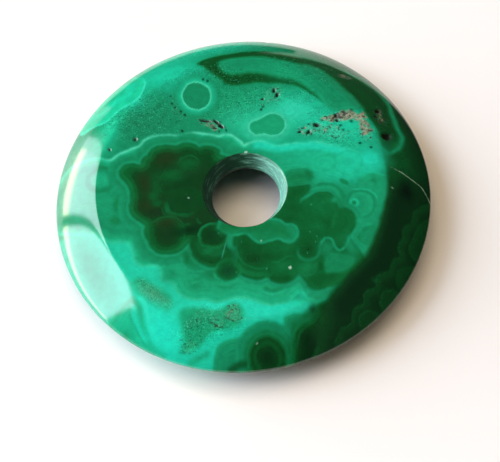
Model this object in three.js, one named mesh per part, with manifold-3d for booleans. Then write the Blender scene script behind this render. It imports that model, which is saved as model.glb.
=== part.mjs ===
// A polished stone donut: one flat round disc of banded green stone with a bowed bevel and a drilled hole.
// Millimetres, +Z up. The origin is the middle of the flat underside, and the polished face looks up.
import * as THREE from "three";
import { mergeVertices } from "three/addons/utils/BufferGeometryUtils.js";
import Module from "manifold-3d";

// Disc
const DISC_RADIUS = 20;
const DISC_THICKNESS = 6.4;
const FLAT_RADIUS = 15.3; // the shoulder begins here, on both faces
const SHOULDER_START = 1.25; // superellipse exponent along the radius: nearer to 1, its start is sharper
const SHOULDER_END = 1.3; // superellipse exponent down the shoulder: nearer to 1, the rim is sharper
const DISC_SIDES = 96;
const SHOULDER_STEPS = 9;

// Hole, drilled a little off the middle: a cone down to a neck, then a wider cone to the underside
const HOLE_X = 0.4;
const HOLE_Y = -0.55;
const MOUTH_RADIUS = 4.36;
const NECK_RADIUS = 3.6;
const NECK_DEPTH = 1.8;
const FOOT_RADIUS = 6.1;
const LIP = 0.16; // radius of the worn edge where the hole meets each face
const NECK_ROUND = 0.12; // half the height of the blunt ridge at the neck
const LIP_STEPS = 3;
const HOLE_SIDES = 64;
const TOOL_OVERRUN = 1;

// Open pores in the polished face and shoulder: where each one is, and its opening's size, depth and turn
const PORES = [
  { x: 16.15, y: 3.75, length: 1.2, width: 1.05, depth: 0.5, turn: 20 },
  { x: 15.68, y: 7.22, length: 0.8, width: 0.5, depth: 0.3, turn: 35 },
  { x: 15.42, y: 6.4, length: 0.42, width: 0.34, depth: 0.22, turn: 0 },
  { x: 8.9, y: 6.05, length: 0.74, width: 0.46, depth: 0.28, turn: -15 },
  { x: 7.95, y: 5.35, length: 0.5, width: 0.42, depth: 0.24, turn: 60 },
  { x: 7.0, y: 5.5, length: 0.36, width: 0.28, depth: 0.18, turn: 0 },
  { x: 11.08, y: 6.9, length: 0.46, width: 0.36, depth: 0.22, turn: 60 },
  { x: 11.15, y: 6.25, length: 0.46, width: 0.32, depth: 0.2, turn: -30 },
  { x: 5.25, y: 10.42, length: 0.6, width: 0.38, depth: 0.26, turn: 70 },
  { x: 4.97, y: 11.05, length: 0.48, width: 0.32, depth: 0.24, turn: 85 },
  { x: 3.6, y: 10.15, length: 0.32, width: 0.26, depth: 0.16, turn: 0 },
  { x: -2.85, y: 8.45, length: 0.95, width: 0.3, depth: 0.22, turn: -12 },
  { x: -1.7, y: 8.2, length: 0.72, width: 0.3, depth: 0.24, turn: -40 },
  { x: -1.2, y: 7.52, length: 0.92, width: 0.34, depth: 0.26, turn: -48 },
  { x: -1.88, y: 7.4, length: 0.5, width: 0.24, depth: 0.16, turn: -25 },
  { x: -10.5, y: 7.35, length: 0.36, width: 0.3, depth: 0.2, turn: 60 },
  { x: -13.35, y: 6.5, length: 0.3, width: 0.26, depth: 0.16, turn: 0 },
];
const PORE_ROUNDNESS = 1; // subdivisions of the icosahedron that each pore is cut with

// A small chip on the far rim
const CHIP = { bearing: 75, length: 0.8, height: 0.9, depth: 0.16 };

const WELD_REACH = 1e-4; // vertices nearer to each other than this are one vertex

const STONE_FINISH = { color: 0x128a5e, roughness: 0.16, metalness: 0 };

const wasm = await Module();
wasm.setup();

// A closed geometry as a solid that can be joined and cut.
function solidOf(geometry) {
  const bare = geometry.clone();
  bare.deleteAttribute("normal");
  bare.deleteAttribute("uv");
  const merged = mergeVertices(bare, WELD_REACH);
  return new wasm.Manifold(
    new wasm.Mesh({
      numProp: 3,
      vertProperties: new Float32Array(merged.attributes.position.array),
      triVerts: new Uint32Array(merged.index.array),
    }),
  );
}

// A solid's surface as a geometry, with flat-faceted normals.
function geometryOf(solid) {
  const mesh = solid.getMesh();
  const geometry = new THREE.BufferGeometry();
  geometry.setAttribute("position", new THREE.BufferAttribute(mesh.vertProperties, 3));
  geometry.setIndex(new THREE.BufferAttribute(mesh.triVerts, 1));
  const faceted = geometry.toNonIndexed();
  faceted.computeVertexNormals();
  return faceted;
}

// A profile of (radius, height) points turned about the upright axis.
function turned(profile, sides) {
  const points = profile.map(([radius, height]) => new THREE.Vector2(radius, height));
  return new THREE.LatheGeometry(points, sides).rotateX(Math.PI / 2);
}

// A point of the upper shoulder: radius and height above the middle plane, for a turn from 0 to 90 degrees.
function shoulderPoint(angle) {
  const along = Math.sin(angle) ** (2 / SHOULDER_START);
  const up = Math.cos(angle) ** (2 / SHOULDER_END);
  return [FLAT_RADIUS + (DISC_RADIUS - FLAT_RADIUS) * along, (DISC_THICKNESS / 2) * up];
}

// Height of the upper surface above the middle plane at a radius.
function surfaceHeight(radius) {
  const along = Math.max(0, (radius - FLAT_RADIUS) / (DISC_RADIUS - FLAT_RADIUS));
  return (DISC_THICKNESS / 2) * (1 - along ** SHOULDER_START) ** (1 / SHOULDER_END);
}

// The disc's profile, from the middle of the underside out to the rim and back over the top.
function discProfile() {
  const middle = DISC_THICKNESS / 2;
  const shoulder = [];
  for (let step = 0; step <= SHOULDER_STEPS; step++) {
    shoulder.push(shoulderPoint(((step / SHOULDER_STEPS) * Math.PI) / 2));
  }
  shoulder[SHOULDER_STEPS] = [DISC_RADIUS, 0];
  const lower = shoulder.map(([radius, height]) => [radius, middle - height]);
  const upper = shoulder.slice(0, -1).map(([radius, height]) => [radius, middle + height]);
  return [[0, 0], ...lower, ...upper.reverse(), [0, DISC_THICKNESS]];
}

// A worn edge: a quarter circle that leaves the face and turns into the hole's wall.
function lip(mouth, faceHeight, outward) {
  const points = [];
  for (let step = 0; step <= LIP_STEPS; step++) {
    const angle = ((step / LIP_STEPS) * Math.PI) / 2;
    const radius = mouth + LIP * (1 - Math.sin(angle));
    points.push([radius, faceHeight - outward * LIP * (1 - Math.cos(angle))]);
  }
  return points;
}

// The hole's profile, from below the underside up through the neck and out over the face.
function holeProfile() {
  const neck = DISC_THICKNESS - NECK_DEPTH;
  const foot = lip(FOOT_RADIUS, 0, -1);
  const mouth = lip(MOUTH_RADIUS, DISC_THICKNESS, 1).reverse();
  return [
    [0, -TOOL_OVERRUN],
    [FOOT_RADIUS + LIP, -TOOL_OVERRUN],
    ...foot,
    [NECK_RADIUS, neck - NECK_ROUND],
    [NECK_RADIUS, neck + NECK_ROUND],
    ...mouth,
    [MOUTH_RADIUS + LIP, DISC_THICKNESS + TOOL_OVERRUN],
    [0, DISC_THICKNESS + TOOL_OVERRUN],
  ];
}

// An ellipsoid that cuts one pore: its middle lies on the surface, and its short axis follows the normal.
function poreTool(pore) {
  const radius = Math.hypot(pore.x, pore.y);
  const span = 0.01;
  const slope = (surfaceHeight(radius + span) - surfaceHeight(radius - span)) / (2 * span);
  const normal = new THREE.Vector3((-slope * pore.x) / radius, (-slope * pore.y) / radius, 1).normalize();
  const tool = new THREE.IcosahedronGeometry(1, PORE_ROUNDNESS);
  tool.scale(pore.length / 2, pore.width / 2, pore.depth);
  tool.rotateZ(THREE.MathUtils.degToRad(pore.turn));
  tool.applyQuaternion(new THREE.Quaternion().setFromUnitVectors(new THREE.Vector3(0, 0, 1), normal));
  tool.translate(pore.x, pore.y, DISC_THICKNESS / 2 + surfaceHeight(radius));
  return tool;
}

// An ellipsoid that takes the chip out of the rim at its widest line.
function chipTool() {
  const tool = new THREE.IcosahedronGeometry(1, PORE_ROUNDNESS);
  tool.scale(CHIP.depth, CHIP.length / 2, CHIP.height / 2);
  tool.translate(DISC_RADIUS, 0, DISC_THICKNESS / 2);
  return tool.rotateZ(THREE.MathUtils.degToRad(CHIP.bearing));
}

function makeStone() {
  const hole = turned(holeProfile(), HOLE_SIDES).translate(HOLE_X, HOLE_Y, 0);
  let stone = solidOf(turned(discProfile(), DISC_SIDES)).subtract(solidOf(hole));
  for (const pore of PORES) {
    stone = stone.subtract(solidOf(poreTool(pore)));
  }
  stone = stone.subtract(solidOf(chipTool()));
  const mesh = new THREE.Mesh(geometryOf(stone), new THREE.MeshStandardMaterial(STONE_FINISH));
  mesh.name = "stone";
  return mesh;
}

const donut = new THREE.Group();
donut.add(makeStone());

export default donut;
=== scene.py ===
"""The looks of a polished malachite donut: its banded stone, its studio and its camera.

The stone is one closed surface worked out with numpy. Its colours are a map of the stone's growth:
fronts, lobes, eyes and veins, laid one over another as they lie in the polished face.
"""
import logging
import math
from dataclasses import dataclass
from enum import Enum
from functools import cached_property
from typing import Sequence

import bpy
import numpy as np
from mathutils import Matrix, Vector


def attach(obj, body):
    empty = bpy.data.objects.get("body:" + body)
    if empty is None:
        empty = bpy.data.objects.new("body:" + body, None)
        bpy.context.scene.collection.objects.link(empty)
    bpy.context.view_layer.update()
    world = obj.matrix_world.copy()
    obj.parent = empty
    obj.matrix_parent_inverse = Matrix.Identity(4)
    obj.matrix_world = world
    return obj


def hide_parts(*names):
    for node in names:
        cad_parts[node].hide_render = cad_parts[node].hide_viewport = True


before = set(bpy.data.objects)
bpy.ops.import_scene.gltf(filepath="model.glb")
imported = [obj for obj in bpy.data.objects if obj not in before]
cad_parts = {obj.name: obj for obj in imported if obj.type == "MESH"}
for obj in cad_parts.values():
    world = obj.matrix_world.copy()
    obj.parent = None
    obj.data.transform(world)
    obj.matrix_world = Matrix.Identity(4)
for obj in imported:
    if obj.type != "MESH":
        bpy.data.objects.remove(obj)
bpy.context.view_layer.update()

# Growth map
Array = np.ndarray
Spot = tuple[float, float]
Light = tuple[float, float, float]


class Tone(Enum):
    """The stone's own colours, and a pale tone that also paints glints, as screen values from 0 to 255. The
    greens come first, from dark to light.
    """

    PITCH = (2, 22, 10)
    INK = (6, 46, 21)
    DEEP = (12, 68, 30)
    MOSS = (10, 84, 36)
    LEAF = (12, 102, 50)
    GREEN = (16, 124, 70)
    MID = (21, 143, 97)
    SEA = (25, 163, 112)
    TURQUOISE = (28, 190, 142)
    AQUA = (32, 222, 186)
    MINT = (66, 214, 170)
    BARK = (24, 54, 28)
    UMBER = (33, 57, 27)
    TEAL = (12, 62, 48)
    GREY = (128, 160, 136)
    TAN = (168, 150, 122)
    BROWN = (92, 96, 72)
    DUST = (190, 240, 215)


T = Tone
GREENS = tuple(Tone)[:11]
Shade = Tone | Light
Rings = Sequence[tuple[float, Shade]]


def light_of(shade: Shade) -> Array:
    """Turns a tone into linear light, and leaves a mixed shade as it is.

    Args:
        shade: a tone, or three linear values.

    Returns:
        Three linear values from 0 to 1.
    """
    if not isinstance(shade, Tone):
        return np.asarray(shade, float)
    screen = np.asarray(shade.value, float) / 255
    return np.where(screen <= 0.04045, screen / 12.92, ((screen + 0.055) / 1.055) ** 2.4)


def mix(first: Shade, second: Shade, share: float) -> Light:
    """Mixes two shades in linear light, with a share of the second one."""
    return tuple(light_of(first) * (1 - share) + light_of(second) * share)


def green(place: float) -> Light:
    """Gives the shade at a place on the scale of greens: 2.4 is DEEP with four tenths of MOSS."""
    first = int(place)
    return mix(GREENS[first], GREENS[first + 1], place - first)


def smooth_step(low: float, high: float, value: Array) -> Array:
    """Rises from 0 at low to 1 at high as 3 t squared less 2 t cubed."""
    t = np.clip((value - low) / (high - low), 0, 1)
    return t * t * (3 - 2 * t)


class Seed(Enum):
    """The seeds of the noises, one for each thing that they make uneven."""

    SHIFT_X = 5
    SHIFT_Y = 6
    GRAIN_EDGE = 8
    PORE_EDGE = 41
    PITS = 43
    POLISH = 44
    DRILL = 45
    FOLD_X = 71
    FOLD_Y = 72


class ValueNoise:
    """Smooth noise in the plane: random values on a square lattice, with a cubic blend between them."""

    SIZE = 256
    OFFSET = 1000.37

    def __init__(self, seed: Seed) -> None:
        """Draws the lattice from a seed."""
        self.lattice = np.random.default_rng(seed.value).uniform(-1, 1, (self.SIZE, self.SIZE))

    def at(self, x: Array, y: Array, cell: float) -> Array:
        """Reads the noise.

        Args:
            x: places along X.
            y: places along Y.
            cell: the lattice's spacing in the same unit.

        Returns:
            Values from -1 to 1.
        """
        u = x / cell + self.OFFSET
        v = y / cell + self.OFFSET
        i = np.floor(u).astype(int)
        j = np.floor(v).astype(int)
        fu = smooth_step(0, 1, u - i)
        fv = smooth_step(0, 1, v - j)
        near, far = i % self.SIZE, (i + 1) % self.SIZE
        low, high = j % self.SIZE, (j + 1) % self.SIZE
        bottom = self.lattice[near, low] * (1 - fu) + self.lattice[far, low] * fu
        top = self.lattice[near, high] * (1 - fu) + self.lattice[far, high] * fu
        return bottom * (1 - fv) + top * fv


def rounded(points: Sequence[Spot], closed: bool, steps: int = 6) -> Array:
    """Runs a Catmull-Rom curve through given points.

    Between points b and c, with neighbours a and d, the curve is half of
    2b + (c - a) t + (2a - 5b + 4c - d) t squared + (3b - a - 3c + d) t cubed.

    Args:
        points: the points in order.
        closed: whether the curve returns to its first point.
        steps: straight pieces between two points.

    Returns:
        The curve as an array of points, whose first is repeated last if it is closed.
    """
    p = np.asarray(points, float)
    if closed:
        padded = np.concatenate([p[-1:], p, p[:2]])
    else:
        padded = np.concatenate([2 * p[:1] - p[1:2], p, 2 * p[-1:] - p[-2:-1]])
    a, b, c, d = (padded[k : len(padded) - 3 + k, None] for k in range(4))
    t = np.linspace(0, 1, steps, endpoint=False)[None, :, None]
    square = (2 * a - 5 * b + 4 * c - d) * t**2
    cube = (3 * b - a - 3 * c + d) * t**3
    curve = (0.5 * (2 * b + (c - a) * t + square + cube)).reshape(-1, 2)
    return np.concatenate([curve, p[:1] if closed else p[-1:]])


def reach_of(x: Array, y: Array, curve: Array, reach: float) -> tuple[Array, Array, Array, Array]:
    """Measures how far places lie from a curve made of straight pieces.

    Each piece gives the distance to its nearest point, and the least of them is kept. A place is
    inside a closed curve if a ray from it along X crosses an odd number of pieces. Its side is the
    sign of the cross product of the nearest piece and the way to the place.

    Args:
        x: places along X.
        y: places along Y.
        curve: the curve's points.
        reach: places further out than this from the curve's box just get this distance.

    Returns:
        The distance, whether the place is inside, how far along the curve it is, from 0 to 1, and
        its side, 1 on the left and -1 on the right.
    """
    low = curve.min(0) - reach
    high = curve.max(0) + reach
    near = (x > low[0]) & (x < high[0]) & (y > low[1]) & (y < high[1])
    px, py = x[near], y[near]
    best = np.full(px.shape, reach)
    odd = np.zeros(px.shape, bool)
    along = np.zeros(px.shape)
    left = np.ones(px.shape)
    lengths = np.hypot(*np.diff(curve, axis=0).T)
    walked = 0.0
    for (ax, ay), (bx, by), length in zip(curve[:-1], curve[1:], lengths):
        vx, vy = bx - ax, by - ay
        wx, wy = px - ax, py - ay
        t = np.clip((wx * vx + wy * vy) / max(length**2, 1e-12), 0, 1)
        distance = np.hypot(wx - t * vx, wy - t * vy)
        closer = distance < best
        best = np.where(closer, distance, best)
        along = np.where(closer, walked + t * length, along)
        left = np.where(closer, np.where(vx * wy > vy * wx, 1.0, -1.0), left)
        if ay != by:
            odd ^= ((ay > py) != (by > py)) & (px < vx * wy / vy + ax)
        walked += length
    distance = np.full(x.shape, reach)
    inside = np.zeros(x.shape, bool)
    share = np.zeros(x.shape)
    side = np.ones(x.shape)
    distance[near], inside[near], share[near], side[near] = best, odd, along / lengths.sum(), left
    return distance, inside, share, side


def faded(share: Array, fade: float) -> Array:
    """Fades a line out over a part of its length at each end."""
    return smooth_step(0, fade, share) * smooth_step(0, fade, 1 - share)


def banded(depth: Array, rings: Rings) -> Array:
    """Colours places by their depth: straight blends between the shades of the rings.

    Args:
        depth: the depth at each place.
        rings: depths in rising order, each with its shade.

    Returns:
        Three linear values for each place.
    """
    depths = [ring[0] for ring in rings]
    shades = np.array([light_of(ring[1]) for ring in rings])
    return np.stack([np.interp(depth, depths, shades[:, k]) for k in range(3)], -1)


class Line(Enum):
    """Fine lines that the finish draws itself, from a signed distance and a mask kept with the mesh."""

    MINT = "mint"
    CRACK = "crack"


class Canvas:
    """The colours and masks worked out so far, for a set of places on the stone in millimetres."""

    FAR = 4.0
    SHIFTS = ((0.07, 1.3), (0.04, 0.45))
    RAGGED = ((0.6, 0.8), (0.4, 0.33))

    def __init__(self, x: Array, y: Array) -> None:
        """Takes the places, and shifts each a little so that no traced line is quite smooth.

        Args:
            x: places along X.
            y: places along Y.
        """
        shift_x, shift_y, ragged = map(ValueNoise, (Seed.SHIFT_X, Seed.SHIFT_Y, Seed.GRAIN_EDGE))
        self.x = x + sum(size * shift_x.at(x, y, cell) for size, cell in self.SHIFTS)
        self.y = y + sum(size * shift_y.at(x, y, cell) for size, cell in self.SHIFTS)
        self.ragged = sum(size * ragged.at(x, y, cell) for size, cell in self.RAGGED)
        self.colour = np.zeros(x.shape + (3,))
        self.grain, self.crumble, self.band, self.lines = (np.zeros(x.shape) for _ in range(4))
        self.side = {line: np.full(x.shape, self.FAR) for line in Line}
        self.mask = {line: np.zeros(x.shape) for line in Line}

    def lay(self, cover: Array, colour: Array, depth: Array | None = None, lines: float = 0.0) -> None:
        """Covers what is there with new growth, by a share from 0 to 1 at each place.

        Growth that has a depth is compact: it takes the grain and the crumble away.

        Args:
            cover: the share.
            colour: the new colours, or one colour.
            depth: the depth that the finish's growth lines follow; None keeps the lines that are there.
            lines: how strong those lines are.
        """
        share = cover[..., None]
        self.colour = self.colour * (1 - share) + colour * share
        for line in Line:
            self.mask[line] = self.mask[line] * (1 - cover)
        if depth is not None:
            self.band = np.where(cover > 0.5, depth, self.band)
            self.lines = self.lines * (1 - cover) + lines * cover
            self.grain = self.grain * (1 - cover)
            self.crumble = self.crumble * (1 - cover)

    def turned(self, x: float, y: float, turn: float) -> tuple[Array, Array]:
        """Gives the places as seen from a centre, along turned axes.

        Args:
            x: the centre's place along X.
            y: its place along Y.
            turn: the axes' turn in degrees.

        Returns:
            The places along the first axis and along the second.
        """
        angle = math.radians(turn)
        dx, dy = self.x - x, self.y - y
        across = dx * math.cos(angle) + dy * math.sin(angle)
        return across, dy * math.cos(angle) - dx * math.sin(angle)


class Marking:
    """Something that the stone's growth left in the polished face."""

    def lay_on(self, canvas: Canvas) -> None:
        """Lays the marking over what the canvas holds; each kind has its own way."""
        raise NotImplementedError


class Ringed(Marking):
    """A marking with a depth, coloured in rings. Its kinds hold rings, lowest, soft, strength and lines."""

    def depth_on(self, canvas: Canvas) -> Array:
        """Gives the depth at each place, 0 on the marking's edge and below zero outside it."""
        raise NotImplementedError

    def lay_on(self, canvas: Canvas) -> None:
        """Lays the rings where the depth is over lowest, with an edge that is soft on both sides.

        Args:
            canvas: the canvas to lay them on.
        """
        depth = self.depth_on(canvas)
        cover = smooth_step(self.lowest - self.soft, self.lowest + self.soft, depth) * self.strength
        canvas.lay(cover, banded(depth, self.rings), depth, self.lines)


@dataclass(frozen=True)
class Zone(Ringed):
    """Ground inside a traced outline, coloured by the depth from that outline."""

    outline: Sequence[Spot]
    rings: Rings
    soft: float = 0.12
    strength: float = 1.0
    lowest: float = 0.0
    lines: float = 0.8

    def depth_on(self, canvas: Canvas) -> Array:
        """Takes the distance to the outline as the depth, below zero outside it.

        Args:
            canvas: the canvas with the places.

        Returns:
            The depth at each place.
        """
        curve = rounded(self.outline, closed=True)
        distance, inside, _, _ = reach_of(canvas.x, canvas.y, curve, canvas.FAR)
        return np.where(inside, distance, -distance)


@dataclass(frozen=True)
class Lobe(Ringed):
    """A rounded lobe, an ellipse coloured by its depth."""

    x: float
    y: float
    long: float
    wide: float
    turn: float
    rings: Rings
    soft: float = 0.1
    strength: float = 1.0
    lines: float = 0.5
    lowest: float = 0.0

    def depth_on(self, canvas: Canvas) -> Array:
        """Takes (1 - q) over the slope of q as the depth, with q the ellipse's own radius, 1 at its edge.

        Args:
            canvas: the canvas with the places.

        Returns:
            The depth at each place.
        """
        across, up = canvas.turned(self.x, self.y, self.turn)
        u, v = across / self.long, up / self.wide
        q = np.hypot(u, v)
        slope = np.hypot(u / self.long, v / self.wide) / np.maximum(q, 1e-9)
        return np.where(q < 0.02, min(self.long, self.wide), (1 - q) / np.maximum(slope, 1e-9))


@dataclass(frozen=True)
class Cluster(Ringed):
    """Lobes grown into each other, circles joined by a smooth maximum of their depths."""

    circles: Sequence[tuple[float, float, float]]
    rings: Rings
    lowest: float = 0.0
    soft: float = 0.1
    blend: float = 0.2
    strength: float = 1.0
    lines: float = 0.6

    def depth_on(self, canvas: Canvas) -> Array:
        """Joins the circles' depths a and b as h a + (1 - h) b + blend h (1 - h), h by their difference.

        Args:
            canvas: the canvas with the places.

        Returns:
            The depth at each place.
        """
        depth = np.full(canvas.x.shape, -99.0)
        for x, y, radius in self.circles:
            own = radius - np.hypot(canvas.x - x, canvas.y - y)
            share = np.clip(0.5 + 0.5 * (depth - own) / self.blend, 0, 1)
            depth = own * (1 - share) + depth * share + self.blend * share * (1 - share)
        return depth


@dataclass(frozen=True)
class Vein(Marking):
    """A line of one shade along traced points."""

    points: Sequence[Spot]
    width: float
    shade: Shade
    strength: float = 1.0
    fade: float = 0.0
    soft: float = 0.6

    def lay_on(self, canvas: Canvas) -> None:
        """Lays the vein: full within half its width, and fading out at its ends.

        Args:
            canvas: the canvas to lay it on.
        """
        curve = rounded(self.points, closed=False)
        distance, _, share, _ = reach_of(canvas.x, canvas.y, curve, max(3 * self.width, 1.0))
        half = self.width / 2
        cover = 1 - smooth_step(half * (1 - self.soft), half * (1 + self.soft), distance)
        if self.fade:
            cover = cover * faded(share, self.fade)
        canvas.lay(cover * self.strength, light_of(self.shade))


@dataclass(frozen=True)
class Hairline(Marking):
    """A line too fine for the mesh, kept as a signed distance and a mask for the finish to draw."""

    points: Sequence[Spot]
    line: Line
    strength: float
    fade: float
    reach: Spot = (0.7, 0.35)

    def lay_on(self, canvas: Canvas) -> None:
        """Keeps the line where no other one lies nearer; its mask falls off beside it and at its ends.

        Args:
            canvas: the canvas to keep it on.
        """
        curve = rounded(self.points, closed=False)
        distance, _, share, side = reach_of(canvas.x, canvas.y, curve, canvas.FAR)
        mask = self.strength * smooth_step(*self.reach, distance) * faded(share, self.fade)
        nearer = distance < np.abs(canvas.side[self.line])
        canvas.side[self.line] = np.where(nearer, distance * side, canvas.side[self.line])
        canvas.mask[self.line] = np.where(nearer, mask, canvas.mask[self.line])


@dataclass(frozen=True)
class Patch(Marking):
    """A soft patch of one shade with no edge."""

    x: float
    y: float
    long: float
    wide: float
    turn: float
    shade: Shade
    strength: float

    def lay_on(self, canvas: Canvas) -> None:
        """Lays the patch: its cover falls as exp of minus q squared, with q the ellipse's own radius.

        Args:
            canvas: the canvas to lay it on.
        """
        across, up = canvas.turned(self.x, self.y, self.turn)
        square = (across / self.long) ** 2 + (up / self.wide) ** 2
        canvas.lay(np.exp(-square) * self.strength, light_of(self.shade))


@dataclass(frozen=True)
class Specks(Marking):
    """Small spots of one shade and size."""

    spots: Sequence[Spot]
    radius: float
    shade: Shade
    strength: float

    def lay_on(self, canvas: Canvas) -> None:
        """Lays each speck: full within half its radius, and gone at its radius.

        Args:
            canvas: the canvas to lay them on.
        """
        cover = np.zeros(canvas.x.shape)
        for x, y in self.spots:
            distance = np.hypot(canvas.x - x, canvas.y - y)
            cover = np.maximum(cover, smooth_step(self.radius, 0.5 * self.radius, distance))
        canvas.lay(cover * self.strength, light_of(self.shade))


@dataclass(frozen=True)
class Grains(Marking):
    """Ground that is granular, and where crumble is above zero also crumbly and brown."""

    x: float
    y: float
    long: float
    wide: float
    turn: float
    amount: float
    crumble: float = 0.0
    raggedness: float = 0.55
    edge: Spot = (1.3, 0.5)

    def lay_on(self, canvas: Canvas) -> None:
        """Raises the grain and crumble masks inside an ellipse with a ragged soft edge.

        Args:
            canvas: the canvas whose masks are raised.
        """
        across, up = canvas.turned(self.x, self.y, self.turn)
        reach = np.hypot(across / self.long, up / self.wide) + self.raggedness * canvas.ragged
        cover = smooth_step(*self.edge, reach)
        canvas.grain = np.maximum(canvas.grain, cover * self.amount)
        canvas.crumble = np.maximum(canvas.crumble, cover * self.crumble)


# Places are in millimetres from the disc's middle, +X to the right and +Y away from the camera.

# The pale front that runs from the left rim over the hole to the right rim
FRONT_LINE = (
    (-16.5, 6.2), (-14.7, 5.75), (-13.9, 5.35), (-13.2, 5.25), (-12.7, 5.65), (-12, 6), (-11, 6.2),
    (-10.2, 6.4), (-9.6, 7), (-8.9, 7.3), (-8.1, 7.4), (-7, 7.35), (-6.1, 7.1), (-4.7, 7.1), (-3.6, 7),
    (-2.4, 6.6), (-1.6, 6.35), (-0.8, 6.4), (-0.1, 6.05), (0.5, 5.4), (0.9, 4.75), (1.3, 4.85), (2.1, 5.1),
    (2.9, 4.95), (3.6, 4.5), (4.4, 4.15), (5.4, 4.15), (6.5, 4.1), (7.5, 3.85), (8.3, 4), (9.1, 3.85),
    (9.8, 3.45), (10.6, 3.1), (11.2, 2.7), (12, 2.4), (12.8, 1.8), (13.3, 1),
)

# The same front's lower edge, in scallops from the middle of the near side round to the left
LOWER_LINE = (
    (4.3, -13.3), (3.2, -14.1), (1.8, -14.3), (0.6, -13.9), (-0.5, -13.3), (-1.6, -12.9), (-2.6, -13),
    (-4, -13.1), (-5, -12.6), (-6.2, -12.5), (-7.2, -12.1), (-7.9, -11.2), (-8.2, -10.35), (-9.2, -9.8),
    (-9.35, -8.9), (-9.7, -8), (-10.4, -7.9), (-11.4, -7.75), (-11.95, -7), (-12, -5.9), (-12.3, -4.95),
    (-13.2, -4.75), (-14.3, -4.6), (-16.6, -3), (-19, -2),
)

BODY_OUTLINE = FRONT_LINE + (
    (15.2, 0.7), (16.4, 0.6), (17.6, 1.2), (19, 1.6), (22, 0), (21, -6), (17, -12), (13, -15), (9.5, -15.5),
    (7.6, -14.6), (6.5, -14.7), (5.4, -14.4), (4.7, -13.5), *LOWER_LINE, (-22, 1.5), (-19, 5.5),
)

# The edge of the dark mass left of the hole, in scallops
LEFT_MASS = (
    (-1.6, 3.9), (-1.75, 4.5), (-2.3, 5), (-3.2, 5.28), (-3.8, 5.18), (-4.3, 5.65), (-4.9, 5.9),
    (-5.5, 5.95), (-6.2, 5.72), (-6.9, 5.92), (-7.8, 6.05), (-8.6, 5.9), (-9.1, 5.5), (-9.35, 5.1),
    (-9.7, 5), (-10, 4.6), (-10.15, 4.1), (-10.6, 4.15), (-11.3, 4.37), (-11.95, 4.2), (-12.4, 3.75),
    (-12.55, 3.3), (-12.3, 2.8), (-11.9, 2.3), (-11.6, 1.6), (-11.52, 0.8), (-11.6, 0), (-11.85, -0.8),
    (-11.7, -1.6), (-11.3, -2.2), (-10.8, -2.75), (-10.35, -3.2), (-10.5, -3.9), (-10.45, -4.4),
    (-10.25, -5), (-10.1, -5.6), (-9.75, -6.1), (-9.3, -6.6), (-8.5, -6.85), (-7.6, -6.8), (-6.9, -6.5),
    (-6.3, -5.95), (-6, -5.8), (-5.95, -6.5), (-5.9, -7.1), (-5.6, -7.8), (-5, -8.5), (-4.3, -8.9),
    (-3.6, -9), (-2.4, -8.9), (-1.6, -8.6), (-1, -7), (0, -5), (2, -2), (2, 2),
)

# The leaf-green mass below and right of the hole
LOW_MASS = (
    (-1.5, -6.3), (-1.2, -7.2), (-1.2, -8.3), (-1.5, -9.2), (-1.5, -9.7), (-1.1, -10.3), (-0.4, -10.85),
    (0.4, -11.1), (1.2, -11.05), (1.6, -11.1), (1.9, -11.5), (2.5, -11.85), (3.2, -11.95), (4, -11.7),
    (4.6, -11.2), (4.9, -11.4), (5.2, -12.1), (5.6, -12.8), (6.3, -13.2), (7.3, -13.15), (8.4, -12.9),
    (9.6, -12.3), (10.6, -11.6), (11.4, -10.6), (11.2, -9.6), (10.7, -8.6), (10.4, -7.6), (11, -6.9),
    (11.35, -6.2), (11.35, -5.4), (11.1, -4.7), (10.5, -4.3), (10, -4), (9.9, -3.4), (9.6, -2.7),
    (9.1, -2.2), (8.4, -2), (7.8, -2.1), (7.1, -2.5), (6.3, -2.9), (6.4, -2.3), (6.9, -1.7), (7.1, -1.2),
    (6.6, -0.8), (5.6, -0.6), (3, -2), (0, -4),
)

EYE_RINGS = ((0, T.MINT), (0.1, T.MINT), (0.2, green(5.4)), (0.35, green(5.9)), (2, T.MID))
HALO_RINGS = ((0, T.MID), (0.7, T.TURQUOISE), (0.85, mix(T.TURQUOISE, T.MINT, 0.6)))
UPPER_SCALLOP = ((0, T.INK), (0.16, T.MOSS), (0.4, green(2.6)), (0.9, green(2.3)))
LOWER_SCALLOP = ((0, T.INK), (0.16, green(3.2)), (0.5, green(2.5)))
UPPER_GROUND = (
    Patch(-6.5, 15.2, 4, 2.4, 0, green(8.35), 0.8),
    Patch(-10.4, 12.2, 1.3, 2, 35, green(8.4), 0.9),
    Patch(-9.5, 9.8, 3.6, 2.4, 0, mix(T.MID, T.UMBER, 0.25), 0.75),
    Patch(-13.3, 8.6, 1.2, 3, -25, T.TURQUOISE, 0.9),
    Patch(3, 10.2, 6, 2.2, -5, T.SEA, 0.5),
    Patch(7.6, 7.6, 4, 3, 0, green(8.3), 0.8),
    Patch(12, 5, 3.6, 2.2, -20, green(8.35), 0.95),
    Patch(1.2, 7.6, 2.5, 2, 0, mix(T.TURQUOISE, T.MINT, 0.2), 0.8),
    Patch(-3, 19, 12, 1.5, 2, green(8.3), 0.95),
    Patch(13.5, 14, 5.5, 2, -42, green(4.4), 0.9),
)

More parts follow.
